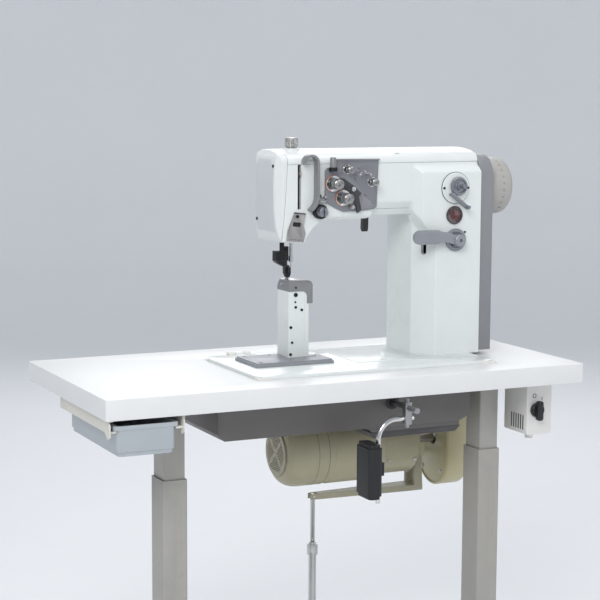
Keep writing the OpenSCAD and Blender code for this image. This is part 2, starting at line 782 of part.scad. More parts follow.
module arm_top_cover() {
  low = arm_top;
  step = low + 1.2;
  outer = [[arm_y0 + 1.2, low], [arm_y0 + 1.2, step], [arm_y0, step], [arm_y0, 425],
           [arm_y0 + 3, 431], [arm_y0 + 9, 436], [arm_y0 + 20, 440], [-4, 443], [22, 446],
           [50, 447.5], [68, 446], [78, 441], [arm_y1, 432], [arm_y1, step],
           [arm_y1 - 1.2, step], [arm_y1 - 1.2, low]];
  inner = [[arm_y0 + 4, low - 1], [arm_y0 + 4, 424], [arm_y0 + 12, 433], [-4, 439], [22, 442],
           [50, 443.5], [66, 442], [arm_y1 - 4, 431], [arm_y1 - 4, low - 1]];
  color([0.94, 0.95, 0.94]) at_top() difference() {
    union() {
      side_y(-63.6, col_x1) polygon(outer);
      along_z([needle_x, needle_y], 440, 449.5, 17);
    }
    side_y(-60, col_x1 - 4) polygon(inner);
    along_z([needle_x, needle_y], 430, 452, 7 + run_gap);
    box([190, arm_y0 + 10, 430], [202, arm_y0 + 16, 450]);
  }
}

module face_plate() {
  color([0.92, 0.93, 0.93]) at_top() difference() {
    intersection() {
      side_x(arm_y0, arm_y1)
        polygon([[-64, 447], [-73, 447], [-84, 434], [-87, 420], [-88, 372], [-87, 322],
                 [-84, 288], [-80, 268], [-76, 260], [-68, 347], [-64, 418]]);
      translate([0, 0, 250]) linear_extrude(210)
        polygon([[-60, arm_y0], [-74, arm_y0], [-88, arm_y0 + 16], [-88, arm_y1 - 16],
                 [-74, arm_y1], [-60, arm_y1]]);
      side_y(-90, -60) polygon([[arm_y0, 250], [arm_y0, 425], [arm_y0 + 3, 431], [arm_y0 + 9, 436],
                                [arm_y0 + 20, 440], [-4, 443], [22, 446], [50, 447.5], [68, 446],
                                [78, 441], [arm_y1, 432], [arm_y1, 250]]);
    }
    side_x(arm_y0 + 12, arm_y1 - 12)
      polygon([[-60, 438], [-74, 438], [-82, 418], [-83.5, 372], [-82, 322], [-79, 290], [-70, 290]]);
  }
}

module belt_guard() {
  x0 = col_x1;
  x1 = guard_x1;
  outer = [[-55, 10], [-55, 396], [-48, 412], [-38, 424], [-20, 432], [40, 436], [72, 434], [90, 424],
           [104, 400], [112, 380], [112, 10]];
  inner = [[-52, 9], [-52, 395], [-45, 410], [-36, 421], [-19, 429], [40, 433], [71, 431], [88, 421],
           [101, 399], [109, 379], [109, 9]];
  color([0.6, 0.6, 0.64]) at_top() difference() {
    side_y(x0, x1) polygon(outer);
    side_y(x0 - 1, x1 - 3) polygon(inner);
    along_x([needle_y, shaft_z], x1 - 4, x1 + 1, 14);
  }
}

module post_base_plate() {
  color([0.62, 0.63, 0.66]) at_top() difference() {
    union() {
      rbox([-143, -64, bed_top], [34, 50, base_top - 3], 3);
      rbox([-140, -61, bed_top], [31, 47, base_top], 2);
    }
    along_z([hook_x, hook_y], 0, 30, 7 + free_gap);
    for (p = base_screws) along_z(p, base_top - 2.5, base_top + 1, 4.5);
  }
}

// front view of the post's cap: it wraps over the right shoulder
module cap_front() {
  polygon(concat([[post_x0, cap_z], [-17, cap_z]],
                 [for (a = [80:-20:0]) [-17 + 11 * cos(a), cap_z - 11 + 11 * sin(a)]],
                 [[-6, 127], [7, 127], [7, post_z - 10], [4, post_z - 4], [-3, post_z - 1],
                  [post_x0 + 3, post_z - 1], [post_x0, post_z - 4]]));
}

module post_casting() {
  wall = 5;
  color([0.92, 0.93, 0.92]) at_top() difference() {
    union() {
      rbox([post_x0, post_y0, base_top], [-11.4, post_y1, post_z - 3], 2);
      rbox([-11.6, post_y0, base_top], [post_x1, post_y1, post_z - 3], 2);
      box([-20, post_y0 + 3, base_top], [-5, post_y1 - 3, post_z - 3]);
      rbox([-12, -11, base_top], [20, 34, base_top + 4], 8);
    }
    rbox([post_x0 + wall, post_y0 + wall, 96], [post_x1 - wall, post_y1 - wall, post_z], 2);
    box([post_x0 + 8, post_y0 + 8, base_top + 12], [hook_x - 9, post_y1 - 8, 84]);
    along_z([hook_x, hook_y], base_top - 1, 97, 7 + run_gap);
    side_x(post_y0 - 1, post_y1 + 1) cap_front();
    translate([0, 0, cap_z]) linear_extrude(30) square([200, 200], center = true);
  }
}

module post_cap() {
  wall = 4;
  color([0.68, 0.69, 0.7]) at_top() difference() {
    intersection() {
      side_x(post_y0 - 1, post_y1 + 1) cap_front();
      side_y(post_x0 - 1, 8)
        polygon([[post_y0 - 1, 120], [post_y0 - 1, post_z - 6], [post_y0 + 2, post_z - 2],
                 [post_y0 + 8, post_z], [post_y1 - 18, post_z], [post_y1 - 7, post_z - 5],
                 [post_y1 - 1, post_z - 14], [post_y1 + 1, post_z - 22], [post_y1 + 1, 120]]);
    }
    difference() {
      rbox([post_x0 + wall, post_y0 + wall, 120], [post_x1 - wall, post_y1 - wall, post_z - 6], 2);
      box([-9, post_y0, 119], [post_x1, post_y1, 126]);
    }
    box([-46, 3, cap_z], [-20, 41, post_z + 1]);
    along_x([needle_y, feed_z], post_x0 - 2, post_x0 + wall + 1, 3 + run_gap);
  }
}

module needle_plate() {
  color([0.78, 0.79, 0.8]) at_top() difference() {
    box([-46, 3, post_z - 3], [-20, 41, post_z - 1]);
    box([roller_x - 4, needle_y - 9, post_z - 4], [roller_x + 4, needle_y + 9, post_z + 1]);
    along_z([needle_x, needle_y], post_z - 4, post_z + 1, 2);
    for (y = [7, 37]) along_z([-24, y], post_z - 1.8, post_z + 1, 2.2);
  }
}

// ---------- thread tension on the arm's front ----------

module tension_plate() {
  color([0.56, 0.57, 0.6]) at_top() difference() {
    union() {
      side_x(plate_front, arm_y0)
        polygon([[46, 428], [144, 427], [140, 328], [134, 323], [104, 320], [62, 319], [46, 326],
                 [24, 338], [20, 350], [20, 404], [24, 410], [42, 412]]);
      side_x(plate_front - 5, plate_front) polygon([[46, 426], [144, 425], [144, 428], [46, 429]]);
      for (p = [upper_tension, lower_tension]) along_y(p, plate_front - 38, plate_front, 3);
      for (p = [left_pretension, right_pretension]) along_y(p, plate_front - 28, plate_front, 3);
    }
    for (p = [[96, 408], [104, 394], [88, 386], [112, 352], [132, 334]])
      along_y(p, plate_front - 1, plate_front + 2, 1.6);
  }
  color([0.25, 0.26, 0.28]) at_top() difference() {
    side_x(plate_front - 7, plate_front)
      polygon([[52, 390], [60, 389], [82, 374], [101, 357], [95, 350], [101, 322], [92, 316],
               [90, 330], [80, 346], [66, 366]]);
    along_y([lower_tension[0], lower_tension[1]], plate_front - 8, plate_front + 1, 19);
  }
}

module tension_discs() {
  disc_r = 16;
  color([0.82, 0.83, 0.84]) at_top() for (p = [upper_tension, lower_tension]) difference() {
    turned_y(p, plate_front)
      polygon([[0, 0], [disc_r - 2, 0], [disc_r - 2, 1.5], [disc_r, 2.2], [disc_r, 3], [8, 4.2],
               [disc_r, 5.4], [disc_r, 6.4], [10, 8.2], [0, 8.2]]);
    along_y(p, plate_front - 9, plate_front + 1, 3);
  }
  color([0.82, 0.83, 0.84]) at_top() for (p = [left_pretension, right_pretension]) difference() {
    turned_y(p, plate_front) polygon([[0, 0], [10, 0], [10, 2], [5, 4.6], [0, 4.6]]);
    along_y(p, plate_front - 6, plate_front + 1, 3);
  }
}

module thread_guides() {
  color([0.74, 0.75, 0.76]) at_top() {
    // pin with a cap on the tension plate's top left corner
    along_z([33, plate_front - 9.2], 404, 412, 9);
    along_z([33, plate_front - 9.2], 412, 433, 6.5);
    box([27, plate_front - 9, 404], [39, plate_front, 410]);
    // two-hole plate and the slotted finger below the tensions
    difference() {
      box([5, arm_y0 - 12, 341], [19.5, arm_y0, 344]);
      for (x = [8.5, 15.5]) along_z([x, arm_y0 - 8], 340, 345, 1.6);
    }
    for (p = [[8.5, 353], [16, 351]]) along_y(p, arm_y0 - 14, arm_y0, 3);
    // guide eyes between the two pre-tensions
    for (p = [[96, 396], [106, 402], [118, 396]])
      along_y(p, plate_front - 12, plate_front, 2.4);
    side_x(plate_front - 14, plate_front - 12) polygon([[92, 393], [98, 391], [121, 394], [120, 400],
                                                       [106, 406], [94, 400]]);
    // guide hooks over the lower tension
    along_y([78, 329], plate_front - 16, plate_front, 4);
  }
}

// knurled nut that turns on a tension post
module tension_knob(p, r, start, len) {
  ridges = 18;
  at_top() difference() {
    turned_y(p, start) knob_outline(r, len, 1.5, 3 + run_gap);
    for (i = [0:ridges - 1]) translate([p[0], 0, p[1]]) rotate([0, i * 360 / ridges, 0])
      along_y([r, 0], start - len + 3, start + 1, 0.9);
  }
}

module upper_tension_knob() {
  color([0.75, 0.75, 0.74]) tension_knob(upper_tension, 11, plate_front - 12, 24);
}

module lower_tension_knob() {
  color([0.75, 0.75, 0.74]) tension_knob(lower_tension, 11, plate_front - 12, 24);
}

module left_pretension_knob() {
  color([0.76, 0.77, 0.77]) tension_knob(left_pretension, 8, plate_front - 10, 16);
}

module right_pretension_knob() {
  color([0.76, 0.77, 0.77]) tension_knob(right_pretension, 8, plate_front - 10, 16);
}

module check_spring_dial() {
  color([0.7, 0.71, 0.73]) at_top() {
    difference() {
      turned_y(check_spring, arm_y0 - 0.6)
        polygon([[0, 0], [15, 0], [15, 3], [12.5, 4.5], [12.5, 8], [15, 9], [15, 12], [11, 18],
                 [10, 26], [0, 26]]);
      box([check_spring[0] - 1.5, arm_y0 - 28, check_spring[1] - 12],
          [check_spring[0] + 1.5, arm_y0 - 23, check_spring[1] + 12]);
    }
  }
}

module thread_guards() {
  y0 = arm_y0 - 20;
  // hooked strip that shields the take-up lever
  color([0.62, 0.63, 0.65]) at_top() side_x(y0, arm_y0) {
    translate([-17, 422]) difference() {
      circle(17);
      circle(12);
      translate([-20, -40]) square([40, 40]);
    }
    translate([-5, 352]) square([5, 70.5]);
    translate([-35, 352]) intersection() {
      difference() {
        circle(35);
        circle(30);
      }
      polygon([[0, 0], [50, 0], [50, -86.6]]);
    }
  }
  // flat shield over the needle bar
  color([0.7, 0.64, 0.6]) at_top() difference() {
    side_x(arm_y0 - 3, arm_y0)
      polygon([[-49, 321], [-24, 318], [-28, 292], [-24, 276], [-29, 258], [-67, 262], [-64, 284]]);
    side_x(arm_y0 - 4, arm_y0 + 1) polygon([[-52, 300], [-34, 298], [-36, 290], [-54, 292]]);
  }
}

module winder_spindle() {
  spokes = 5;
  color([0.66, 0.67, 0.69]) at_top() {
    along_y([spindle_x, spindle_z], col_y0 - 34, arm_y0 + 6, 5);
    difference() {
      turned_y([spindle_x, spindle_z], col_y0 - 4)
        polygon([[0, 0], [20, 0], [20, 6], [18, 8], [14, 8], [13, 5], [8, 5], [8, 12], [0, 12]]);
      for (i = [0:spokes - 1]) translate([spindle_x, 0, spindle_z]) rotate([0, i * 360 / spokes, 0])
        along_y([0, 16], col_y0 - 13, col_y0 - 10, 1.6);
    }
  }
}

module winder_lever() {
  color([0.7, 0.71, 0.72]) at_top() {
    along_y(winder_pivot, col_y0 - 13, col_y0 + 6, 3);
    translate([winder_pivot[0], 0, winder_pivot[1]]) rotate([0, 38, 0]) {
      side_x(col_y0 - 16, col_y0 - 13) translate([21, 0]) rrect(52, 9, 4.4);
      side_x(col_y0 - 25, col_y0 - 16) translate([44, 0]) rrect(6, 9, 2.9);
    }
  }
}

module sight_glass() {
  color([0.3, 0.13, 0.12]) at_top() turned_y([320, 306], col_y0)
    polygon([[0, 0], [19.5, 0], [19.5, 3], [17.5, 4.5], [16, 4.5], [14, 3], [0, 3.6]]);
}

module stitch_dial() {
  notches = 24;
  color([0.66, 0.67, 0.69]) at_top() difference() {
    turned_y([dial_x, dial_z], col_y0 - 0.5)
      polygon([[6 + run_gap, 0], [24, 0], [24, 5], [22, 7], [17, 7], [16, 5], [11, 5], [11, 7],
               [6 + run_gap, 7]]);
    for (i = [0:notches - 1]) translate([dial_x, 0, dial_z]) rotate([0, i * 360 / notches, 0])
      along_y([24.4, 0], col_y0 - 9, col_y0 + 1, 1);
  }
}

module reverse_lever() {
  y1 = col_y0 - 12;
  y0 = y1 - 9;
  color([0.62, 0.63, 0.66]) at_top() {
    along_y([dial_x, dial_z], y1, arm_y0 + 10, 6);
    difference() {
      turned_y([dial_x, dial_z], y1 + 3) knob_outline(13, 17, 2, 0);
      translate([dial_x, y0 - 6, dial_z]) rotate([90, 0, 0]) cylinder(h = 12, r = 4, center = true, $fn = 6);
    }
    side_x(y0, y1) union() {
      translate([248, 262]) scale([1, 1]) rrect(70, 30, 14.8);
      polygon([[262, 276], [290, 272], [318, 264], [318, 244], [290, 250], [262, 247]]);
    }
  }
}

module lift_lever() {
  color([0.1, 0.1, 0.1]) at_top() {
    along_x([24, arm_z + 7], 130, 166, 3);
    along_x([24, arm_z + 7], 140, 156, 6);
    side_y(142, 154) polygon([[18, arm_z + 7], [30, arm_z + 7], [33, arm_z - 30], [30, arm_z - 37],
                              [23, arm_z - 38], [20, arm_z - 32]]);
  }
}

module pressure_knob() {
  ridges = 24;
  r = 14;
  color([0.72, 0.73, 0.73]) at_top() difference() {
    union() {
      along_z([needle_x, needle_y], 442, 450, 7);
      translate([needle_x, needle_y, 450]) rotate_extrude()
        polygon([[0, 0], [12, 0], [12, 3], [r, 3], [r, 19], [r - 1.5, 21], [0, 22]]);
    }
    for (i = [0:ridges - 1]) rotate_about(needle_x, needle_y, i * 360 / ridges)
      along_z([r + 0.2, 0], 455, 473, 0.9);
  }
}

// turns a shape about an upright line and moves it there
module rotate_about(x, y, a) {
  translate([x, y, 0]) rotate([0, 0, a]) children();
}

// ---------- moving parts of the head ----------

module handwheel() {
  x0 = guard_x1 + 3;
  len = 60;
  r = handwheel_r;
  dimples = 26;
  color([0.68, 0.67, 0.65]) at_top() difference() {
    turned_x([needle_y, shaft_z], x0)
      polygon([[shaft_r, 0], [r - 8, 0], [r - 3, 2], [r - 1, 8], [r, 20], [r, 44], [r - 2, 54],
               [r - 6, 59], [r - 12, len], [r - 18, len - 2], [r - 22, len - 14], [22, len - 16],
               [20, len - 4], [shaft_r, len - 4]]);
    for (i = [0:dimples - 1]) translate([x0 + 34, needle_y, shaft_z])
      rotate([i * 360 / dimples, 0, 0]) translate([0, 0, r - 1.6]) cylinder(h = 4, r = 2.4);
  }
}

module arm_shaft() {
  half = belt_w / 2;
  r = head_groove_r;
  color([0.76, 0.77, 0.78]) at_top() {
    along_x([needle_y, shaft_z], -10, 474, shaft_r);
    along_x([needle_y, shaft_z], -18, -8, 24);
    along_x([needle_y + 16, shaft_z], -21.5, -18, 4);
    along_x([needle_y, shaft_z], pulley_x, pulley_x + 14, 26);
    turned_x([needle_y, shaft_z], belt_x - half - 4)
      polygon([[0, 0], [r + groove_deep, 0], [r + groove_deep, 3.4], [r, 3.8], [r, belt_w + 4.2],
               [r + groove_deep, belt_w + 4.6], [r + groove_deep, belt_w + 8], [0, belt_w + 8]]);
  }
}

module lower_shaft() {
  color([0.74, 0.75, 0.76]) at_top() {
    along_x([hook_y, lower_z], 2, 314, 8);
    along_x([hook_y, lower_z], pulley_x, pulley_x + 14, 26);
    along_x([hook_y, lower_z], -4, 4, 14);
  }
}

module rotary_hook() {
  color([0.78, 0.79, 0.8]) at_top() difference() {
    union() {
      along_z([hook_x, hook_y], -42, 124, 7);
      along_z([hook_x, hook_y], -44, -36, 8);
      translate([hook_x, hook_y, 122]) rotate_extrude()
        polygon([[0, 0], [7, 0], [hook_r, 4], [hook_r, 24], [hook_r - 1.5, 26], [0, 26]]);
    }
    along_z([hook_x, hook_y], 132, 150, hook_r - 2.5);
  }
}

module feed_wheel() {
  teeth = 36;
  color([0.7, 0.71, 0.72]) at_top() difference() {
    along_x([needle_y, feed_z], roller_x - 3, roller_x + 3, feed_r);
    for (i = [0:teeth - 1]) translate([0, needle_y, feed_z])
      rotate([i * 360 / teeth, 0, 0]) along_x([0, feed_r + 0.1], roller_x - 4, roller_x + 4, 0.4);
  }
  color([0.7, 0.71, 0.72]) at_top() along_x([needle_y, feed_z], post_x0 - 1.5, roller_x + 3.5, 3);
}

module needle_bar() {
  color([0.78, 0.79, 0.8]) at_top() {
    along_z([needle_x, needle_y], 222, 412, 3.6);
    along_z([needle_x, needle_y], 212, 224, 4.8);
    along_z([needle_x, needle_y], post_z + 14, 213, 0.9);
    translate([needle_x, needle_y, post_z + 10]) cylinder(h = 4, r1 = 0.2, r2 = 0.9);
  }
}

module presser_bar() {
  arm_x0 = roller_x - 7;
  color([0.16, 0.16, 0.17]) at_top() {
    along_z([presser_x, needle_y], 234, 425, 5);
    rbox([-66, needle_y - 11, 215], [-41, needle_y + 11, 236], 4);
    rbox([-41.5, needle_y - 5, 215], [-34, needle_y + 6, 245], 2);
    side_y(arm_x0, arm_x0 + 3.6) polygon([[needle_y - 9, 216], [needle_y + 9, 216],
                                          [needle_y + 6, roller_z - 5], [needle_y - 6, roller_z - 5]]);
    along_x([needle_y, roller_z], arm_x0, roller_x + 3, 2.5);
    side_x(needle_y - 9, needle_y + 8)
      polygon([[-66, 216], [arm_x0 + 1, 216], [arm_x0 + 1, 203], [-49, 204], [-62, 211]]);
  }
}

module roller_foot() {
  teeth = 40;
  r = roller_r;
  color([0.12, 0.12, 0.13]) at_top() difference() {
    turned_x([needle_y, roller_z], roller_x - 3)
      polygon([[2.5 + run_gap, 0], [r - 1, 0], [r, 1], [r, 5], [r - 1, 6], [9, 6], [9, 4.5],
               [5, 4.5], [5, 6], [2.5 + run_gap, 6]]);
    for (i = [0:teeth - 1]) translate([0, needle_y, roller_z])
      rotate([i * 360 / teeth, 0, 0]) along_x([0, r + 0.1], roller_x - 4, roller_x + 4, 0.4);
  }
}

module takeup_lever() {
  reach = 96;
  rest_angle = 18;
  color([0.8, 0.6, 0.5]) at_top() {
    along_x([takeup_y, takeup_z], -64, takeup_x, 4);
    translate([takeup_x - 1.5, takeup_y, takeup_z]) rotate([-rest_angle, 0, 0]) difference() {
      union() {
        box([0, -reach + 4, -3.5], [3, 0, 3.5]);
        along_x([0, 0], 0, 3, 8);
        along_x([-reach + 4, 0], 0, 3, 4.5);
      }
      along_x([-reach + 4, 0], -1, 4, 1.6);
    }
  }
}

// screws on the head, each with a hexagon socket
module socket_screw(r, h) {
  difference() {
    cylinder(h = h, r = r);
    translate([0, 0, h - 1.2]) cylinder(h = 2, r = r * 0.5, $fn = 6);
  }
}

module head_screws() {
  // x, z and radius of the screws on the post's front
  post_front = [[-32, 161, 2], [-32, 146, 4.4], [-33, 131, 2], [-32, 120, 2.8], [-18, 114, 2.8],
                [-43, 78, 3.1], [-40, 46, 2.6], [-43.5, 21, 3.1]];
  color([0.2, 0.2, 0.21]) at_top() {
    for (p = post_front) translate([p[0], post_y0 - (p[1] > cap_z ? 1 : 0), p[1]])
      rotate([90, 0, 0]) socket_screw(p[2], 1.3);
    for (p = [[-20, 415, -87.2], [64, 302, -85.6]])
      translate([p[2], p[0], p[1]]) rotate([0, -90, 0]) socket_screw(3.2, 1.8);
    for (x = [winder_x - 29, winder_x + 29])
      translate([x, col_y0 - 3, winder_z]) rotate([90, 0, 0]) socket_screw(2.6, 1.6);
    translate([347, col_y0, 269]) rotate([90, 0, 0]) socket_screw(2.4, 1.2);
    translate([81, plate_front - 7, 366]) rotate([90, 0, 0]) socket_screw(5, 2.5);
    translate([-43, arm_y0 - 3, 312]) rotate([90, 0, 0]) socket_screw(3.4, 1.6);
    for (p = base_screws) translate([p[0], p[1], base_top - 2.5]) socket_screw(4.2, 2.4);
  }
}

// ---------- what is drawn ----------

stand_feet();
foot_pads();
lower_leg_tubes();
stand_crossbar();
treadle_plate();
table_top();
upper_leg_tubes();
oil_pan();
motor_housing();
motor_fan_cover();
belt_cover();
motor_bracket();
drawer_runners();
switch_box();
bed_supports();
drive_belt();
motor_pulley();
clutch_lever();
pitman_rod();
pitman_tube();
drawer_tray();
switch_knob();
knee_shaft();
knee_rod();
knee_pad();
bed_plate();
arm_casting();
arm_top_cover();
face_plate();
belt_guard();
post_base_plate();
post_casting();
post_cap();
needle_plate();
tension_plate();
tension_discs();
thread_guides();
thread_guards();
sight_glass();
head_screws();
handwheel();
arm_shaft();
lower_shaft();
rotary_hook();
feed_wheel();
needle_bar();
presser_bar();
roller_foot();
takeup_lever();
upper_tension_knob();
lower_tension_knob();
left_pretension_knob();
right_pretension_knob();
check_spring_dial();
pressure_knob();
winder_spindle();
winder_lever();
reverse_lever();
stitch_dial();
lift_lever();
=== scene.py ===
"""Looks for the post-bed sewing machine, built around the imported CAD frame."""
import json
import math

import bmesh
import bpy
from mathutils import Matrix, Vector


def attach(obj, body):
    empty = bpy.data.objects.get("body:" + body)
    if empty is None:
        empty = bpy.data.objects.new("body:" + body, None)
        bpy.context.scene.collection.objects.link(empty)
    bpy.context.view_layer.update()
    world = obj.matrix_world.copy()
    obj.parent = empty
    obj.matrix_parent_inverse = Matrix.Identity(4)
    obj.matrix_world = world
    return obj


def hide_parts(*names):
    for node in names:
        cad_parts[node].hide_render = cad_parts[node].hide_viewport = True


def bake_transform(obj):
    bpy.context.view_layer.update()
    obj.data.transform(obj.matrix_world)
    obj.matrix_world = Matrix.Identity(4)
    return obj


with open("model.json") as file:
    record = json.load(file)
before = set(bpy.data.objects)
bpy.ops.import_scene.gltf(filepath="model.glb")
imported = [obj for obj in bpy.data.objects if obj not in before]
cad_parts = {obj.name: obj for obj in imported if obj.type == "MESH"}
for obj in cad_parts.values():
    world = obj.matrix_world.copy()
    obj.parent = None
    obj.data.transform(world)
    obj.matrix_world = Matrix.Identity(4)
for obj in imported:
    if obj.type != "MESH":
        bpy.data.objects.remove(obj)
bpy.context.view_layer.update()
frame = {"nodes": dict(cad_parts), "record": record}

MM = 0.001
TABLE_H = 0.8          # height of the table's upper face
NODES = frame["nodes"]
BODY_OF = {n: b for b, ns in frame["record"]["behaviour"]["bodies"].items() for n in ns}
SLOT_OF = {s["node"]: s["material_slot"] for s in frame["record"]["subparts"]}


def at(x, y, z):
    """A point given in millimetres from the middle of the table's upper face."""
    return Vector((x * MM, y * MM, z * MM + TABLE_H))


# ---------------------------------------------------------------- materials

def new_nodes(name):
    """An empty material with a Principled shader."""
    m = bpy.data.materials.new(name)
    m.use_nodes = True
    t = m.node_tree
    t.nodes.clear()
    out = t.nodes.new("ShaderNodeOutputMaterial")
    b = t.nodes.new("ShaderNodeBsdfPrincipled")
    t.links.new(b.outputs[0], out.inputs[0])
    return m, t, b


def noise(t, coord, scale, detail=4.0, rough=0.55, stretch=None):
    """A noise texture's factor, on coordinates that can be stretched along an axis."""
    src = coord
    if stretch:
        mp = t.nodes.new("ShaderNodeMapping")
        mp.inputs["Scale"].default_value = stretch
        t.links.new(coord, mp.inputs[0])
        src = mp.outputs[0]
    n = t.nodes.new("ShaderNodeTexNoise")
    n.inputs["Scale"].default_value = scale
    n.inputs["Detail"].default_value = detail
    n.inputs["Roughness"].default_value = rough
    t.links.new(src, n.inputs["Vector"])
    return n.outputs["Fac"]


def ramp(t, fac, lo, hi, a, b):
    """Maps fac from lo..hi to a..b, which are numbers."""
    r = t.nodes.new("ShaderNodeMapRange")
    for k, v in zip(("From Min", "From Max", "To Min", "To Max"), (lo, hi, a, b)):
        r.inputs[k].default_value = v
    t.links.new(fac, r.inputs["Value"])
    return r.outputs[0]


def mix(t, fac, a, b):
    """Mixes two colours, each a tuple or a socket."""
    m = t.nodes.new("ShaderNodeMix")
    m.data_type = "RGBA"
    t.links.new(fac, m.inputs["Factor"])
    for sock, v in ((m.inputs["A"], a), (m.inputs["B"], b)):
        if isinstance(v, tuple):
            sock.default_value = (*v, 1.0)
        else:
            t.links.new(v, sock)
    return m.outputs["Result"]


def shade(c, k):
    """A colour made lighter or darker by a factor."""
    return tuple(min(1.0, max(0.0, v * k)) for v in c)


def finish_mat(name, base, rough=(0.35, 0.45), metal=0.0, vary=0.06, patch=14.0, grain=900.0,
               bump=0.05, bump_mm=0.05, coat=0.0, coat_rough=0.1, wear=None, wear_rough=0.3,
               grime_and_crease_shade=0.0, stretch=None, cells=0.0, spec=0.5, speck=None):
    """A procedural finish: tone patches, grain in roughness and bump, worn edges, and hollows darkened with
    painted crease shade and grime.
    """
    m, t, b = new_nodes(name)
    coord = t.nodes.new("ShaderNodeTexCoord").outputs["Object"]
    broad = noise(t, coord, patch, 5.0, 0.6)
    fine = noise(t, coord, grain, 3.0, 0.6, stretch)
    col = mix(t, ramp(t, broad, 0.3, 0.7, 0.0, 1.0), shade(base, 1.0 - vary), shade(base, 1.0 + vary))
    col = mix(t, ramp(t, fine, 0.35, 0.65, 0.0, 1.0), col, mix_tone(t, col, vary))
    rgh = t.nodes.new("ShaderNodeMath")
    rgh.operation = "ADD"
    t.links.new(ramp(t, fine, 0.3, 0.7, rough[0], rough[1]), rgh.inputs[0])
    t.links.new(ramp(t, broad, 0.3, 0.7, -0.03, 0.05), rgh.inputs[1])
    rough_out = rgh.outputs[0]
    if speck:
        dots = noise(t, coord, grain * 1.7, 1.0, 0.4)
        col = mix(t, ramp(t, dots, 0.66, 0.72, 0.0, 1.0), col, speck)
    geo = t.nodes.new("ShaderNodeNewGeometry")
    point = geo.outputs["Pointiness"]
    if wear:
        edge = t.nodes.new("ShaderNodeBevel")
        edge.samples = 4
        edge.inputs["Radius"].default_value = 1.3 * MM
        turn = t.nodes.new("ShaderNodeVectorMath")
        turn.operation = "DOT_PRODUCT"
        t.links.new(edge.outputs[0], turn.inputs[0])
        t.links.new(geo.outputs["Normal"], turn.inputs[1])
        mask = t.nodes.new("ShaderNodeMath")
        mask.operation = "MULTIPLY"
        t.links.new(ramp(t, turn.outputs["Value"], 0.995, 0.93, 0.0, 1.0), mask.inputs[0])
        t.links.new(ramp(t, noise(t, coord, 180.0, 4.0), 0.42, 0.62, 0.0, 0.85), mask.inputs[1])
        col = mix(t, mask.outputs[0], col, wear)
    # painted shade with grime: concave creases and hollows are darkened towards a third of the base colour,
    # in patches
    if grime_and_crease_shade:
        low = t.nodes.new("ShaderNodeMath")
        low.operation = "MULTIPLY"
        t.links.new(ramp(t, point, 0.49, 0.44, 0.0, grime_and_crease_shade), low.inputs[0])
        t.links.new(ramp(t, broad, 0.35, 0.65, 0.5, 1.0), low.inputs[1])
        col = mix(t, low.outputs[0], col, shade(base, 0.35))
    t.links.new(col, b.inputs["Base Color"])
    t.links.new(rough_out, b.inputs["Roughness"])
    b.inputs["Metallic"].default_value = metal
    b.inputs["Specular IOR Level"].default_value = spec
    b.inputs["Coat Weight"].default_value = coat
    b.inputs["Coat Roughness"].default_value = coat_rough
    bp = t.nodes.new("ShaderNodeBump")
    bp.inputs["Strength"].default_value = bump
    bp.inputs["Distance"].default_value = bump_mm * MM
    if cells:
        v = t.nodes.new("ShaderNodeTexVoronoi")
        v.inputs["Scale"].default_value = cells
        t.links.new(coord, v.inputs["Vector"])
        t.links.new(v.outputs["Distance"], bp.inputs["Height"])
    else:
        t.links.new(fine, bp.inputs["Height"])
    t.links.new(bp.outputs[0], b.inputs["Normal"])
    return m


def mix_tone(t, col, vary):
    """The same colour a little darker, for fine grain."""
    h = t.nodes.new("ShaderNodeHueSaturation")
    h.inputs["Value"].default_value = 1.0 - vary * 0.7
    t.links.new(col, h.inputs["Color"])
    return h.outputs[0]


# enamel: its hollows get a light painted crease shade with grime
ENAMEL = dict(rough=(0.26, 0.34), vary=0.015, grain=700.0, bump=0.06, bump_mm=0.08, coat=0.3,
              coat_rough=0.12, grime_and_crease_shade=0.1)
MOULDED = dict(rough=(0.36, 0.46), vary=0.03, grain=1500.0, bump=0.12, bump_mm=0.06)
SHEET = dict(rough=(0.38, 0.5), vary=0.05, grain=1100.0, bump=0.12, bump_mm=0.06)
STEEL = dict(rough=(0.22, 0.38), metal=1.0, vary=0.08, grain=900.0, bump=0.1, bump_mm=0.04)
CHROME = dict(rough=(0.07, 0.16), metal=1.0, vary=0.04, grain=500.0, bump=0.03, bump_mm=0.03)
RUBBER = dict(rough=(0.6, 0.78), vary=0.18, grain=1200.0, bump=0.3, bump_mm=0.08)

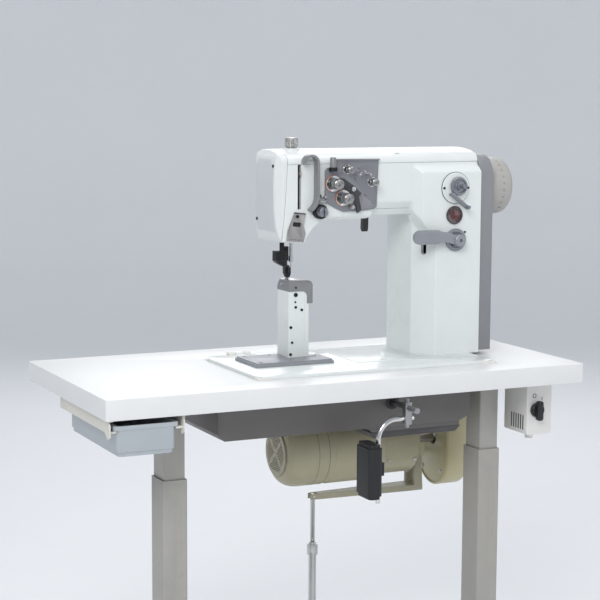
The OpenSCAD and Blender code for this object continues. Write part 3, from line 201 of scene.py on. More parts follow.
MATS = {}
for key, base, style, extra in (
    ("stand_paint", (0.37, 0.355, 0.325), SHEET, dict(wear=(0.5, 0.49, 0.46), bump=0.18)),
    ("pad_rubber", (0.03, 0.03, 0.03), RUBBER, {}),
    ("treadle_iron", (0.045, 0.045, 0.048), SHEET,
     dict(rough=(0.5, 0.65), grain=600.0, bump=0.4, bump_mm=0.2, wear=(0.35, 0.34, 0.33))),
    ("table_laminate", (0.76, 0.765, 0.76), MOULDED,
     dict(rough=(0.34, 0.42), grain=650.0, bump=0.1, speck=(0.72, 0.72, 0.71), vary=0.015)),
    ("pan_grey", (0.135, 0.125, 0.12), SHEET,
     dict(rough=(0.40, 0.52), patch=5.0, vary=0.1, wear=(0.28, 0.27, 0.26))),
    ("motor_beige", (0.43, 0.395, 0.265), SHEET,
     dict(rough=(0.32, 0.44), cells=420.0, bump=0.25, bump_mm=0.12, wear=(0.62, 0.59, 0.47))),
    ("grille_beige", (0.44, 0.41, 0.30), SHEET, dict(cells=420.0, bump=0.2, bump_mm=0.1)),
    ("cover_beige", (0.53, 0.48, 0.29), MOULDED, dict(rough=(0.3, 0.4), coat=0.1)),
    ("bracket_grey", (0.20, 0.19, 0.16), SHEET, dict(wear=(0.4, 0.38, 0.34))),
    ("runner_white", (0.70, 0.68, 0.61), SHEET, dict(wear=(0.5, 0.49, 0.46))),
    ("switch_white", (0.74, 0.73, 0.70), MOULDED, {}),
    ("bed_pads", (0.76, 0.75, 0.70), RUBBER, dict(rough=(0.5, 0.62), vary=0.06)),
    ("belt_rubber", (0.02, 0.02, 0.02), RUBBER, {}),
    ("pulley_steel", (0.46, 0.46, 0.47), STEEL, dict(stretch=(8.0, 1.0, 1.0))),
    ("lever_beige", (0.38, 0.36, 0.26), SHEET, dict(wear=(0.55, 0.54, 0.5))),
    ("rod_zinc", (0.58, 0.58, 0.57), STEEL, dict(stretch=(6.0, 6.0, 1.0))),
    ("drawer_grey", (0.42, 0.455, 0.48), MOULDED, dict(rough=(0.32, 0.42))),
    ("knob_black", (0.012, 0.012, 0.013), MOULDED, dict(rough=(0.3, 0.42), vary=0.15)),
    ("knee_steel", (0.38, 0.38, 0.385), STEEL, dict(rough=(0.28, 0.42))),
    ("knee_chrome", (0.74, 0.74, 0.74), CHROME, {}),
    ("pad_black", (0.012, 0.012, 0.014), RUBBER, dict(rough=(0.42, 0.58), grain=900.0)),
    ("head_white", (0.74, 0.77, 0.755), ENAMEL, {}),
    ("cover_white", (0.76, 0.78, 0.77), ENAMEL, dict(grain=1300.0, coat=0.15)),
    ("face_white", (0.72, 0.74, 0.735), ENAMEL, dict(grain=1300.0, coat=0.15)),
    ("guard_grey", (0.235, 0.24, 0.252), MOULDED, dict(rough=(0.34, 0.44))),
    ("plate_grey", (0.30, 0.31, 0.335), SHEET, dict(rough=(0.3, 0.42), metal=0.35)),
    ("cap_grey", (0.26, 0.265, 0.27), STEEL, dict(metal=0.4, rough=(0.34, 0.46))),
    ("plate_steel", (0.62, 0.62, 0.63), STEEL, dict(rough=(0.16, 0.28), stretch=(1.0, 9.0, 1.0))),
    ("tension_grey", (0.245, 0.252, 0.27), SHEET, dict(rough=(0.3, 0.42), metal=0.4)),
    ("disc_steel", (0.72, 0.72, 0.73), CHROME, {}),
    ("guide_steel", (0.55, 0.55, 0.56), STEEL, dict(rough=(0.18, 0.3))),
    ("shield_steel", (0.42, 0.40, 0.39), STEEL, dict(rough=(0.24, 0.36), stretch=(1.0, 1.0, 7.0))),
    ("sight_glass", (0.035, 0.014, 0.016), MOULDED, dict(rough=(0.08, 0.14), coat=1.0, coat_rough=0.03)),
    ("screw_black", (0.03, 0.03, 0.032), STEEL, dict(metal=0.7, rough=(0.35, 0.5))),
    ("wheel_grey", (0.41, 0.395, 0.375), MOULDED, dict(rough=(0.38, 0.48), bump=0.2)),
    ("shaft_steel", (0.55, 0.55, 0.56), STEEL, dict(stretch=(10.0, 1.0, 1.0))),
    ("needle_steel", (0.68, 0.68, 0.69), CHROME, {}),
    ("foot_black", (0.02, 0.02, 0.022), STEEL, dict(metal=0.6, rough=(0.3, 0.45), wear=(0.2, 0.2, 0.21))),
    ("takeup_steel", (0.62, 0.55, 0.50), CHROME, dict(rough=(0.14, 0.24))),
    # the knurled caps: strong painted crease shade with grime in their grooves
    ("knob_nickel", (0.42, 0.415, 0.40), CHROME, dict(rough=(0.22, 0.34), grime_and_crease_shade=0.5)),
    ("dial_grey", (0.27, 0.28, 0.31), STEEL, dict(metal=0.7, rough=(0.28, 0.4))),
    ("lever_black", (0.015, 0.015, 0.016), MOULDED, dict(rough=(0.3, 0.4))),
    # the panel: light painted crease shade with grime in its hollows
    ("panel_tint", (0.60, 0.615, 0.635), MOULDED, dict(rough=(0.3, 0.4), grain=1700.0, grime_and_crease_shade=0.1)),
    ("felt_orange", (0.62, 0.16, 0.02), RUBBER, dict(rough=(0.8, 0.95), grain=2400.0, bump=0.6)),
    ("strip_grey", (0.24, 0.245, 0.255), STEEL, dict(metal=0.3, rough=(0.3, 0.42))),
    ("lens_red", (0.085, 0.008, 0.008), MOULDED, dict(rough=(0.05, 0.1), coat=1.0, coat_rough=0.02)),
    # flat black for painted shadow, on sheets put behind openings and in gaps
    ("shadow_fill_black", (0.006, 0.006, 0.007), RUBBER, dict(rough=(0.7, 0.85))),
    ("mark_dark", (0.05, 0.05, 0.055), MOULDED, {}),
    ("seam_brown", (0.13, 0.12, 0.09), MOULDED, {}),
    ("pan_dark", (0.07, 0.067, 0.066), SHEET, {}),
    ("bridge_dark", (0.045, 0.047, 0.052), SHEET, dict(rough=(0.34, 0.46), wear=(0.3, 0.3, 0.31))),
    ("satin_steel", (0.66, 0.66, 0.67), STEEL, dict(rough=(0.2, 0.32))),
):
    MATS[key] = finish_mat(key, base, **{**style, **extra})


# ---------------------------------------------------------------- mesh helpers

def link(name, mesh):
    o = bpy.data.objects.new(name, mesh)
    bpy.context.scene.collection.objects.link(o)
    return o


def from_bm(name, bm):
    bmesh.ops.recalc_face_normals(bm, faces=bm.faces)
    me = bpy.data.meshes.new(name)
    bm.to_mesh(me)
    bm.free()
    return link(name, me)


def apply_mods(o):
    """Replaces an object's mesh with what its modifiers make of it."""
    dg = bpy.context.evaluated_depsgraph_get()
    me = bpy.data.meshes.new_from_object(o.evaluated_get(dg))
    o.modifiers.clear()
    old = o.data
    o.data = me
    bpy.data.meshes.remove(old)
    return o


def bevel(o, width, segments=3, angle=28.0):
    """Rounds an object's sharp edges; width in millimetres."""
    b = o.modifiers.new("bevel", "BEVEL")
    b.width = width * MM
    b.segments = segments
    b.limit_method = "ANGLE"
    b.angle_limit = math.radians(angle)
    b.use_clamp_overlap = True
    b.miter_outer = "MITER_ARC"
    return apply_mods(o)


def cut(o, tool, op="DIFFERENCE"):
    """A boolean with another object, which is used up."""
    b = o.modifiers.new("bool", "BOOLEAN")
    b.operation = op
    b.solver = "EXACT"
    b.object = tool
    apply_mods(o)
    bpy.data.objects.remove(tool)
    return o


def smooth(o, angle=32.0):
    o.data.polygons.foreach_set("use_smooth", [True] * len(o.data.polygons))
    o.data.set_sharp_from_angle(angle=math.radians(angle))
    return o


AXES = {"x": (1, 2, 0), "y": (0, 2, 1), "z": (0, 1, 2)}


def prism(points, axis, lo, hi, name="prism"):
    """An outline in the two other axes, extruded along axis from lo to hi, in table millimetres."""
    a, b, c = AXES[axis]
    bm = bmesh.new()
    rings = []
    for level in (lo, hi):
        ring = []
        for p in points:
            v = [0.0, 0.0, 0.0]
            v[a], v[b], v[c] = p[0], p[1], level
            ring.append(bm.verts.new(at(*v)))
        rings.append(ring)
    bm.faces.new(rings[0])
    bm.faces.new(list(reversed(rings[1])))
    n = len(points)
    for i in range(n):
        j = (i + 1) % n
        bm.faces.new((rings[0][i], rings[1][i], rings[1][j], rings[0][j]))
    return from_bm(name, bm)


def block(lo, hi, name="block"):
    return prism([(lo[0], lo[1]), (hi[0], lo[1]), (hi[0], hi[1]), (lo[0], hi[1])], "z", lo[2], hi[2],
                 name)


def lathe(profile, axis, origin, name="lathe", segs=64, closed=False):
    """Turns (radius, distance) pairs about a line along an axis through origin."""
    ax = {"x": Vector((1, 0, 0)), "y": Vector((0, 1, 0)), "z": Vector((0, 0, 1)),
          "-y": Vector((0, -1, 0)), "-x": Vector((-1, 0, 0)), "-z": Vector((0, 0, -1))}[axis]
    u = Vector((0, 0, 1)) if abs(ax.z) < 0.5 else Vector((1, 0, 0))
    w = ax.cross(u)
    o = at(*origin)
    bm = bmesh.new()
    rings = []
    for r, d in profile:
        c = o + ax * (d * MM)
        if r <= 1e-6:
            rings.append([bm.verts.new(c)])
            continue
        rings.append([bm.verts.new(c + (u * math.cos(2 * math.pi * i / segs)
                                        + w * math.sin(2 * math.pi * i / segs)) * (r * MM))
                      for i in range(segs)])
    pairs = list(zip(rings, rings[1:]))
    if closed:
        pairs.append((rings[-1], rings[0]))
    for p, q in pairs:
        for i in range(segs):
            j = (i + 1) % segs
            if len(p) == 1 and len(q) == 1:
                break
            if len(p) == 1:
                bm.faces.new((p[0], q[i], q[j]))
            elif len(q) == 1:
                bm.faces.new((p[i], p[j], q[0]))
            else:
                bm.faces.new((p[i], p[j], q[j], q[i]))
    return from_bm(name, bm)


def tube(points, radius, name="tube", segs=12, closed=False):
    """A round tube along points in table millimetres, with capped ends."""
    pts = [at(*p) for p in points]
    bm = bmesh.new()
    n = len(pts)
    side = None
    rings = []
    for i, p in enumerate(pts):
        a = pts[i - 1] if (i or closed) else p
        b = pts[(i + 1) % n] if (i < n - 1 or closed) else p
        d = (b - a).normalized()
        if side is None:
            side = d.orthogonal().normalized()
        side = (side - d * side.dot(d)).normalized()
        up = d.cross(side)
        rings.append([bm.verts.new(p + (side * math.cos(2 * math.pi * k / segs)
                                        + up * math.sin(2 * math.pi * k / segs)) * (radius * MM))
                      for k in range(segs)])
    pairs = list(zip(rings, rings[1:]))
    if closed:
        pairs.append((rings[-1], rings[0]))
    for p, q in pairs:
        for k in range(segs):
            j = (k + 1) % segs
            bm.faces.new((p[k], p[j], q[j], q[k]))
    if not closed:
        bm.faces.new(list(reversed(rings[0])))
        bm.faces.new(rings[-1])
    return from_bm(name, bm)


def join(name, objs):
    """One object from several."""
    bm = bmesh.new()
    for o in objs:
        bm.from_mesh(o.data)
        bpy.data.objects.remove(o)
    me = bpy.data.meshes.new(name)
    bm.to_mesh(me)
    bm.free()
    return link(name, me)


def soften(o, voxel, passes, keep, factor=0.5):
    """Blends every edge, as on a sand casting under thick enamel, and thins out the flat faces."""
    m = o.modifiers.new("voxels", "REMESH")
    m.mode = "VOXEL"
    m.voxel_size = voxel * MM
    m = o.modifiers.new("blend", "SMOOTH")
    m.factor = factor
    m.iterations = passes
    m = o.modifiers.new("thin", "DECIMATE")
    m.ratio = keep
    return apply_mods(o)


def union(*objs):
    """The first object, with all the others joined to it by booleans."""
    first, *rest = objs
    for o in rest:
        cut(first, o, "UNION")
    return first


def rounded(w, h, r, n=6, cx=0.0, cy=0.0):
    """A rounded rectangle's outline."""
    pts = []
    for sx, sy, a0 in ((1, 1, 0), (-1, 1, 90), (-1, -1, 180), (1, -1, 270)):
        for i in range(n + 1):
            a = math.radians(a0 + 90 * i / n)
            pts.append((cx + sx * (w / 2 - r) + r * math.cos(a), cy + sy * (h / 2 - r) + r * math.sin(a)))
    return pts


def disc_points(cx, cy, r, n=40):
    return [(cx + r * math.cos(2 * math.pi * i / n), cy + r * math.sin(2 * math.pi * i / n))
            for i in range(n)]


def fluted(profile, axis, origin, flutes, depth, name="fluted"):
    """A knurled turned part; profile holds (radius, distance, 1 where it is knurled)."""
    o = lathe([(r, d) for r, d, _ in profile], axis, origin, name, segs=flutes * 4)
    mid = at(*origin)
    ax = 0 if "x" in axis else 1 if "y" in axis else 2
    marks = {(round(r, 3), round(abs(d), 3)) for r, d, k in profile if k}
    u = Vector((0, 0, 1)) if ax != 2 else Vector((1, 0, 0))
    for v in o.data.vertices:
        d = v.co - mid
        along = abs(d[ax]) / MM
        d[ax] = 0.0
        r = d.length / MM
        if not any(abs(r - mr) < 0.01 and abs(along - md) < 0.01 for mr, md in marks):
            continue
        w = Vector([0, 0, 0])
        w[ax] = 1.0
        ang = math.atan2(d.dot(w.cross(u)), d.dot(u))
        k = 1.0 - depth / r * (0.5 + 0.5 * math.cos(ang * flutes))
        v.co = Vector([mid[i] + d[i] * k if i != ax else v.co[i] for i in range(3)])
    return o


def spring(origin, r0, r1, y0, y1, turns, wire, name="spring"):
    """A compression spring about a line along Y."""
    n = int(turns * 20)
    pts = []
    for i in range(n + 1):
        k = i / n
        a = 2 * math.pi * turns * k
        r = r0 + (r1 - r0) * k
        pts.append((origin[0] + r * math.cos(a), y0 + (y1 - y0) * k, origin[1] + r * math.sin(a)))
    return tube(pts, wire, name, 8)


def done(o, name, body, slot, replaces=(), angle=32.0, mat=None):
    """Names a finished piece, gives it its material, and puts it on its body."""
    o.name = name
    o.data.name = name
    o.data.materials.clear()
    o.data.materials.append(MATS[mat or slot])
    smooth(o, angle)
    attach(o, body)
    if replaces:
        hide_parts(*replaces)
    return o


def refine(node, width, segments=2, angle=28.0, slot=None):
    """A copy of a CAD node with clean faces and rounded edges, which stands for it."""
    me = NODES[node].data.copy()
    bm = bmesh.new()
    bm.from_mesh(me)
    bmesh.ops.remove_doubles(bm, verts=bm.verts, dist=2e-6)
    bmesh.ops.dissolve_limit(bm, angle_limit=math.radians(0.4), verts=bm.verts, edges=bm.edges,
                             use_dissolve_boundaries=False)
    bmesh.ops.recalc_face_normals(bm, faces=bm.faces)
    bm.to_mesh(me)
    bm.free()
    o = link(node + "_piece", me)
    if width:
        bevel(o, width, segments, angle)
    return done(o, node + "_piece", BODY_OF[node], slot or SLOT_OF[node], (node,))


# ---------------------------------------------------------------- camera, floor and light

def camera():
    """The photograph's viewpoint: in front, to the left and a little above the table."""
    cam = bpy.data.objects.new("camera", bpy.data.cameras.new("camera"))
    bpy.context.scene.collection.objects.link(cam)
    az, el, roll = math.radians(25.4), math.radians(7.2), math.radians(0.29)
    fwd = Vector((math.sin(az) * math.cos(el), math.cos(az) * math.cos(el), -math.sin(el)))
    right = fwd.cross(Vector((0, 0, 1))).normalized()
    up = right.cross(fwd)
    r2 = right * math.cos(roll) + up * math.sin(roll)
    u2 = up * math.cos(roll) - right * math.sin(roll)
    m = Matrix((r2, u2, -fwd)).transposed().to_4x4()
    m.translation = Vector((-1.540, -3.210, 1.382))
    cam.matrix_world = m
    cam.data.sensor_width = 36.0
    cam.data.lens = 1710.0 / 600.0 * 36.0
    cam.data.clip_end = 60.0
    bpy.context.scene.camera = cam


def area(name, loc, target, size, power):
    """A square soft light that faces target."""
    light = bpy.data.lights.new(name, "AREA")
    light.size = size
    light.energy = power
    o = bpy.data.objects.new(name, light)
    bpy.context.scene.collection.objects.link(o)
    o.location = loc
    o.rotation_euler = (Vector(target) - Vector(loc)).to_track_quat("-Z", "Y").to_euler()


def studio():
    """A pale floor that curves up into a wall, and four soft lights."""
    bpy.context.scene.view_settings.view_transform = "Standard"
    floor = lathe([(0, 0), (5200, 0), (5900, 60), (6500, 260), (6900, 620), (7100, 1200), (7150, 5200),
                   (7200, 5200), (7200, -20), (0, -20)], "z", (0, 0, -800), "floor", segs=96)
    fm = finish_mat("floor_pale", (0.86, 0.87, 0.885), rough=(0.6, 0.7), vary=0.01, patch=1.5,
                    grain=60.0, bump=0.02)
    floor.data.materials.append(fm)
    smooth(floor, 60)
    world = bpy.data.worlds.new("studio")
    bpy.context.scene.world = world
    world.use_nodes = True
    bg = world.node_tree.nodes["Background"]
    bg.inputs[0].default_value = (0.88, 0.93, 1.0, 1)
    bg.inputs[1].default_value = 0.50
    area("key", (-2.4, -3.2, 3.4), (0.0, 0.0, 0.95), 2.0, 108)
    area("fill", (3.2, -2.8, 2.0), (0.1, 0.0, 0.9), 2.8, 20)
    area("top", (0.2, 0.2, 4.2), (0.1, 0.0, 0.8), 3.0, 46)
    area("back", (1.8, 3.6, 2.8), (0.2, 0.0, 0.9), 2.6, 36)


camera()
studio()

# ---------------------------------------------------------------- machine head

ARM_FRONT, ARM_BACK, ARM_TOP = -40.0, 85.0, 418.0
ARM_UNDER = 308        # underside of the arm
COL_FRONT, COL_BACK = -58.0, 104.0
CHAMFER_TURN = 31.6    # angle of the column's chamfered corner, in degrees
NEEDLE = (-27.0, 22.0)
PLATE_FRONT = -44.0    # front of the tension plate
WINDER = (322, 364)    # middle of the winder's round plate, in X and Z
SIGHT_GLASS = (320, 306)
SHAFT_Y, SHAFT_Z = 22, 362
GUARD_X1 = 418         # end of the belt guard
MOTOR_Y, MOTOR_Z = 100, -212
MOTOR_R = 77
FAN_X = -26            # outer face of the motor's fan cover
BELT_COVER_X = 366     # face of the belt cover towards the motor
SWITCH_X, SWITCH_Y = 436, -178
KNEE = (132, -72)      # the knee lever's shaft, in X and Z
# outline of the head's end seam, in X and Z, from the top down
SEAM = [(-64, 418), (-68, 347), (-76, 260)]


def casting():
    """The arm and column: one enamelled casting with blended edges and crisp seams."""
    over = ARM_TOP + 14
    f, k = ARM_FRONT, ARM_BACK
    arm = prism([(f, over), (f, 337), (f + 18, ARM_UNDER), (k - 18, ARM_UNDER), (k, 337),
                 (k, over)], "x", -20, 262)
    throat = [(48 + 75 * math.cos(math.radians(a)), 233 + 75 * math.sin(math.radians(a)))
              for a in range(162, 89, -4)]
    head = prism([(-90, over), (-90, 259), (-76, 259), (-27, 256), *throat, (60, 308), (60, over)],
                 "y", f, k)
    col = prism([(245, -6), (277, COL_FRONT), (397, COL_FRONT), (397, COL_BACK), (245, COL_BACK)],
                "z", -6, over)
    cut(col, prism([(COL_FRONT, -10), (COL_FRONT, 398), (f, 414), (f, over + 1), (k, over + 1),
                    (k, 414), (COL_BACK, 396), (COL_BACK, -10)], "x", 230, 410), "INTERSECT")
    belly = prism([(30, 358), (30, 310), (38, 302), (124, 302), (133, 308), (133, 358)], "y", f - 2, k + 2)
    cut(belly, prism([(f, 362), (f, 314), (f + 4, 306), (f + 14, 302), (k - 20, 302), (k, 337), (k, 362)],
                     "x", 20, 140), "INTERSECT")
    flank = prism([(220, 406), (220, 330), (262, 262), (300, 262), (300, 418), (232, 418)], "y",
                  COL_FRONT, 0)
    cut(flank, prism([(COL_FRONT, 250), (COL_FRONT, 398), (f, 414), (1, 414), (1, 250)], "x", 210, 310),
        "INTERSECT")
    cut(flank, prism([(229, 1), (229, f), (243, COL_FRONT - 0.01), (302, COL_FRONT - 0.01), (302, 1)],
                     "z", 240, 420), "INTERSECT")
    o = union(arm, head, col, belly, flank)
    soften(o, 2.0, 9, 0.3)
    # seams, cavities, slots and bores
    tool = union(
        block((-140, -90, ARM_TOP), (460, 140, over + 8)),
        prism([(-150, over + 8), (-64, over + 8), *SEAM, (-77, 240), (-150, 240)], "y", -60, 110),
        block((386, -90, -20), (420, 140, over + 8)),
        block((200, -90, -20), (420, 140, 6)),
        block((12, f + 9, 322), (265, k - 9, over)),
        block((-100, f + 9, 322), (-2, k - 9, over)),
        block((-100, f + 9, 270), (-36, 12, 323)),
        prism([(255, 0), (271, -26), (374, -26), (374, 92), (255, 92)], "z", 2, 323),
        block((255, f + 9, 322), (374, k - 9, over)),
    )
    cut(o, tool)
    slot = prism(rounded(13, 34, 6.4), "x", -8, 14)
    turn = Matrix.Rotation(math.radians(CHAMFER_TURN), 4, "Z")
    slot.data.transform(Matrix.Translation(at(261, -32, 238)) @ turn @ Matrix.Translation(-at(0, 0, 0)))
    small = union(
        slot,
        block((-41.2, f - 4, 326), (-33.2, f + 12, over)),
        block((137, 4, ARM_UNDER - 12), (159, 44, ARM_UNDER + 15)),
        prism(disc_points(*NEEDLE, 4.4, 24), "z", 240, 330),
        prism(disc_points(-48, 22, 5.8, 24), "z", 240, 330),
    )
    cut(o, small)
    return done(o, "arm_casting_piece", "head", "head_white", ("arm_casting",), 38)


def face():
    """The rounded end cover of the head, with its flat tinted panel."""
    f, k = ARM_FRONT, ARM_BACK
    o = prism([(-30, 447), (-73, 447), (-84, 434), (-87, 420), (-88, 372), (-87, 322), (-84, 288),
               (-80, 268), (-76, 260), (-30, 258)], "y", f, k)
    cut(o, prism([(-20, f), (-74, f), (-88, f + 16), (-88, k - 16), (-74, k), (-20, k)], "z", 240, 460),
        "INTERSECT")
    cut(o, prism([(f, 240), (f, 425), (f + 3, 431), (f + 9, 436), (f + 20, 440), (-4, 443), (22, 446),
                  (50, 447.5), (68, 446), (78, 441), (k, 432), (k, 240)], "x", -100, -10), "INTERSECT")
    soften(o, 1.6, 7, 0.3)
    cut(o, prism([(-20, 470), (-64.8, 470), (-64.8, 418), (-68.8, 347), (-76.8, 260), (-77, 240),
                  (-20, 240)], "y", -70, 120))
    done(o, "face_plate_piece", "head", "face_white", ("face_plate",), 40)
    panel = prism([(-84.4, 432), (-87.5, 420), (-88.5, 372), (-87.5, 322), (-84.6, 289), (-82.6, 279),
                   (-81, 279), (-83.2, 289), (-86, 322), (-87, 372), (-86, 420), (-83, 432)], "y", -22, 67)
    cut(panel, prism([(-22, 270), (-22, 402), (-7, 428), (58, 428), (67, 415), (67, 270)], "x", -95, -75),
        "INTERSECT")
    bevel(panel, 0.25, 1, 50)
    done(panel, "face_panel", "head", "face_white", mat="panel_tint")


def tension_unit(knob, body, x, z, r, y0, y1, disc_r, turns):
    """One thread tension's knurled cap with a slot, its tip and its spring; its felt and dished discs come
    from disc_set.
    """
    prof = [(0.0, 0, 0), (r - 2.6, 0, 0), (r - 1.2, 0.4, 0), (r, 1.6, 1), (r, 3.4, 1)]
    n = y0 - y1
    prof += [(r, n * 0.36, 1), (r, n * 0.62, 1), (r - 0.3, n - 4.2, 0), (r - 1.6, n - 3.4, 0),
             (r - 1.7, n - 1.2, 0), (r - 2.9, n, 0), (0.0, n, 0)]
    cap = fluted(prof, "-y", (x, y0, z), 26 if r > 10 else 20, 0.55)
    a = math.radians(-35)
    s = block((-r * 0.62, y1 - 1, -1.0), (r * 0.62, y1 + 2.6, 1.0))
    s.data.transform(Matrix.Translation(at(x, 0, z)) @ Matrix.Rotation(a, 4, "Y")
                     @ Matrix.Translation(-at(0, 0, 0)))
    cut(cap, s)
    done(cap, knob + "_piece", body, "knob_nickel", (knob,))
    tip = lathe([(0, 0), (2.4, 0), (2.4, 1.4), (2.0, 2.0), (0, 2.0)], "-y", (x, y1 + 2.2, z), segs=24)
    done(tip, knob + "_tip", body, "screw_black")
    coil = spring((x, z), disc_r * 0.5, r * 0.62, y0 + (4.2 if r > 10 else 2.6), y0 + 0.6, turns, 0.55)
    done(coil, knob + "_spring", body, "guide_steel")


def disc_set(x, z, r, base):
    """Felt ring and two dished discs on a tension post."""
    k = r / 16.0
    felt = lathe([(4, 0), (r * 1.04, 0), (r * 1.07, 0.5), (r * 1.07, 1.9 * k), (r * 1.02, 2.4 * k),
                  (4, 2.4 * k)], "-y", (x, base, z), segs=64, closed=True)
    back = [(3.2, 2.5), (r * 0.55, 2.9), (r * 0.9, 2.7), (r, 2.2), (r * 1.01, 2.5), (r * 0.9, 3.3),
            (r * 0.55, 3.7), (3.2, 3.7)]
    front = [(3.2, 4.1), (r * 0.5, 4.1), (r * 0.88, 4.8), (r, 5.7), (r * 1.01, 6.0), (r * 0.9, 5.7),
             (r * 0.5, 5.0), (3.2, 5.2)]
    objs = [lathe([(a, d * k) for a, d in prof], "-y", (x, base, z), segs=64, closed=True)
            for prof in (back, front)]
    collar = lathe([(3.2, 5.0 * k), (r * 0.4, 5.0 * k), (r * 0.4, 7.6 * k), (3.2, 8.0 * k)], "-y",
                   (x, base, z), segs=32, closed=True)
    return felt, join("discs", objs + [collar])


def tensions():
    units = (("upper_tension_knob", "upper_tension", 37, 378, 11, 24, 12, 16, 2.6),
             ("lower_tension_knob", "lower_tension", 60, 348, 11, 24, 12, 16, 2.6),
             ("left_pretension_knob", "left_pretension", 70, 407, 8, 16, 10, 10, 3.2),
             ("right_pretension_knob", "right_pretension", 127, 380, 8, 16, 10, 10, 3.2))
    felts, steel = [], []
    for knob, body, x, z, r, length, start, disc_r, turns in units:
        near = PLATE_FRONT - start
        tension_unit(knob, body, x, z, r, near, near - length, disc_r, turns)
        a, b = disc_set(x, z, disc_r, PLATE_FRONT - 0.05)
        felts.append(a)
        steel.append(b)
    done(join("felts", felts[:2]), "tension_felts", "head", "disc_steel", mat="felt_orange")
    done(join("pads", felts[:1:-1]), "pretension_felts", "head", "disc_steel", mat="strip_grey")
    done(join("discs", steel), "tension_discs_piece", "head", "disc_steel", ("tension_discs",))
    # collar and slotted cap of the take-up spring's regulator
    x, z, y = 7, 321, -40.6
    ring = lathe([(9, 0), (15, 0), (15, 3), (12.6, 4.4), (12.6, 8), (15, 9), (15, 12), (14.4, 12.6),
                  (12.4, 12.6), (11.6, 11.6), (9, 11.6)], "-y", (x, y, z), segs=72, closed=True)
    done(ring, "check_spring_ring", "check_spring", "screw_black")
    top = lathe([(0, 8), (11.4, 8), (11.4, 13.4), (10.6, 18), (9.8, 21), (9.8, 25.2), (9.0, 26), (0, 26)],
                "-y", (x, y, z), segs=64)
    cut(top, block((x - 1.4, y - 30, z - 12), (x + 1.4, y - 22.5, z + 12)))
    cut(top, prism(disc_points(x, z, 3.0, 24), "y", y - 30, y - 20))
    bevel(top, 0.25, 1, 40)
    done(top, "check_spring_dial_piece", "check_spring", "dial_grey", ("check_spring_dial",))
    coil = spring((x, z), 12.0, 12.0, y - 4.6, y - 7.8, 2.5, 0.6)
    done(coil, "check_spring_wire", "check_spring", "guide_steel")


def guards():
    """The hooked strip in front of the take-up lever, and the polished shield over the needle bar."""
    y0, y1 = ARM_FRONT - 20, ARM_FRONT
    outer = [(-34, 420)] + [(-17 + 17 * math.cos(math.radians(a)), 422 + 17 * math.sin(math.radians(a)))
                            for a in range(180, -1, -10)]
    outer += [(0, 352)] + [(-35 + 35 * math.cos(math.radians(a)), 352 + 35 * math.sin(math.radians(a)))
                           for a in range(-5, -61, -5)]
    inner = [(-35 + 30 * math.cos(math.radians(a)), 352 + 30 * math.sin(math.radians(a)))
             for a in range(-60, 0, 5)] + [(-5, 352)]
    inner += [(-17 + 12 * math.cos(math.radians(a)), 422 + 12 * math.sin(math.radians(a)))
              for a in range(0, 181, 10)]
    strip = prism(outer + inner, "y", y0, y1)
    bevel(strip, 0.7, 2, 35)
    done(strip, "takeup_guard", "head", "shield_steel", ("thread_guards",), mat="strip_grey")
    shield = prism([(-49, 321), (-24, 318), (-28, 292), (-24, 276), (-29, 258.5), (-67, 262), (-64, 284)],
                   "y", y1 - 3, y1 - 0.2)
    cut(shield, prism([(-52, 301), (-35, 299), (-36.5, 290), (-54, 292)], "y", y1 - 5, y1 + 2))
    for i in range(6):
        cut(shield, prism(disc_points(-60 + 5.6 * i, 265.4 - 0.5 * i, 1.3, 12), "y", y1 - 5, y1 + 2))
    bevel(shield, 0.5, 2, 50)
    done(shield, "needle_shield", "head", "shield_steel")
    grid = [tube([(-53 + 3.0 * i, y1 - 1.4, 300 - 0.35 * i), (-54.4 + 3.0 * i, y1 - 1.4, 291.4 - 0.3 * i)],
                 0.5, segs=8) for i in range(1, 6)]
    done(join("grid", grid), "shield_bars", "head", "shield_steel", mat="mark_dark")
    dark = prism([(-52, 301), (-35, 299), (-36.5, 290), (-54, 292)], "y", y1 - 0.9, y1 - 0.3)
    done(dark, "shield_shadow", "head", "shield_steel", mat="shadow_fill_black")
    lip = prism([(-50, 321), (-24, 318), (-24.4, 315.6), (-50.6, 318.4)], "y", y1 - 4.2, y1 - 2.8)
    bevel(lip, 0.4, 2, 40)
    done(lip, "shield_lip", "head", "shield_steel", mat="mark_dark")


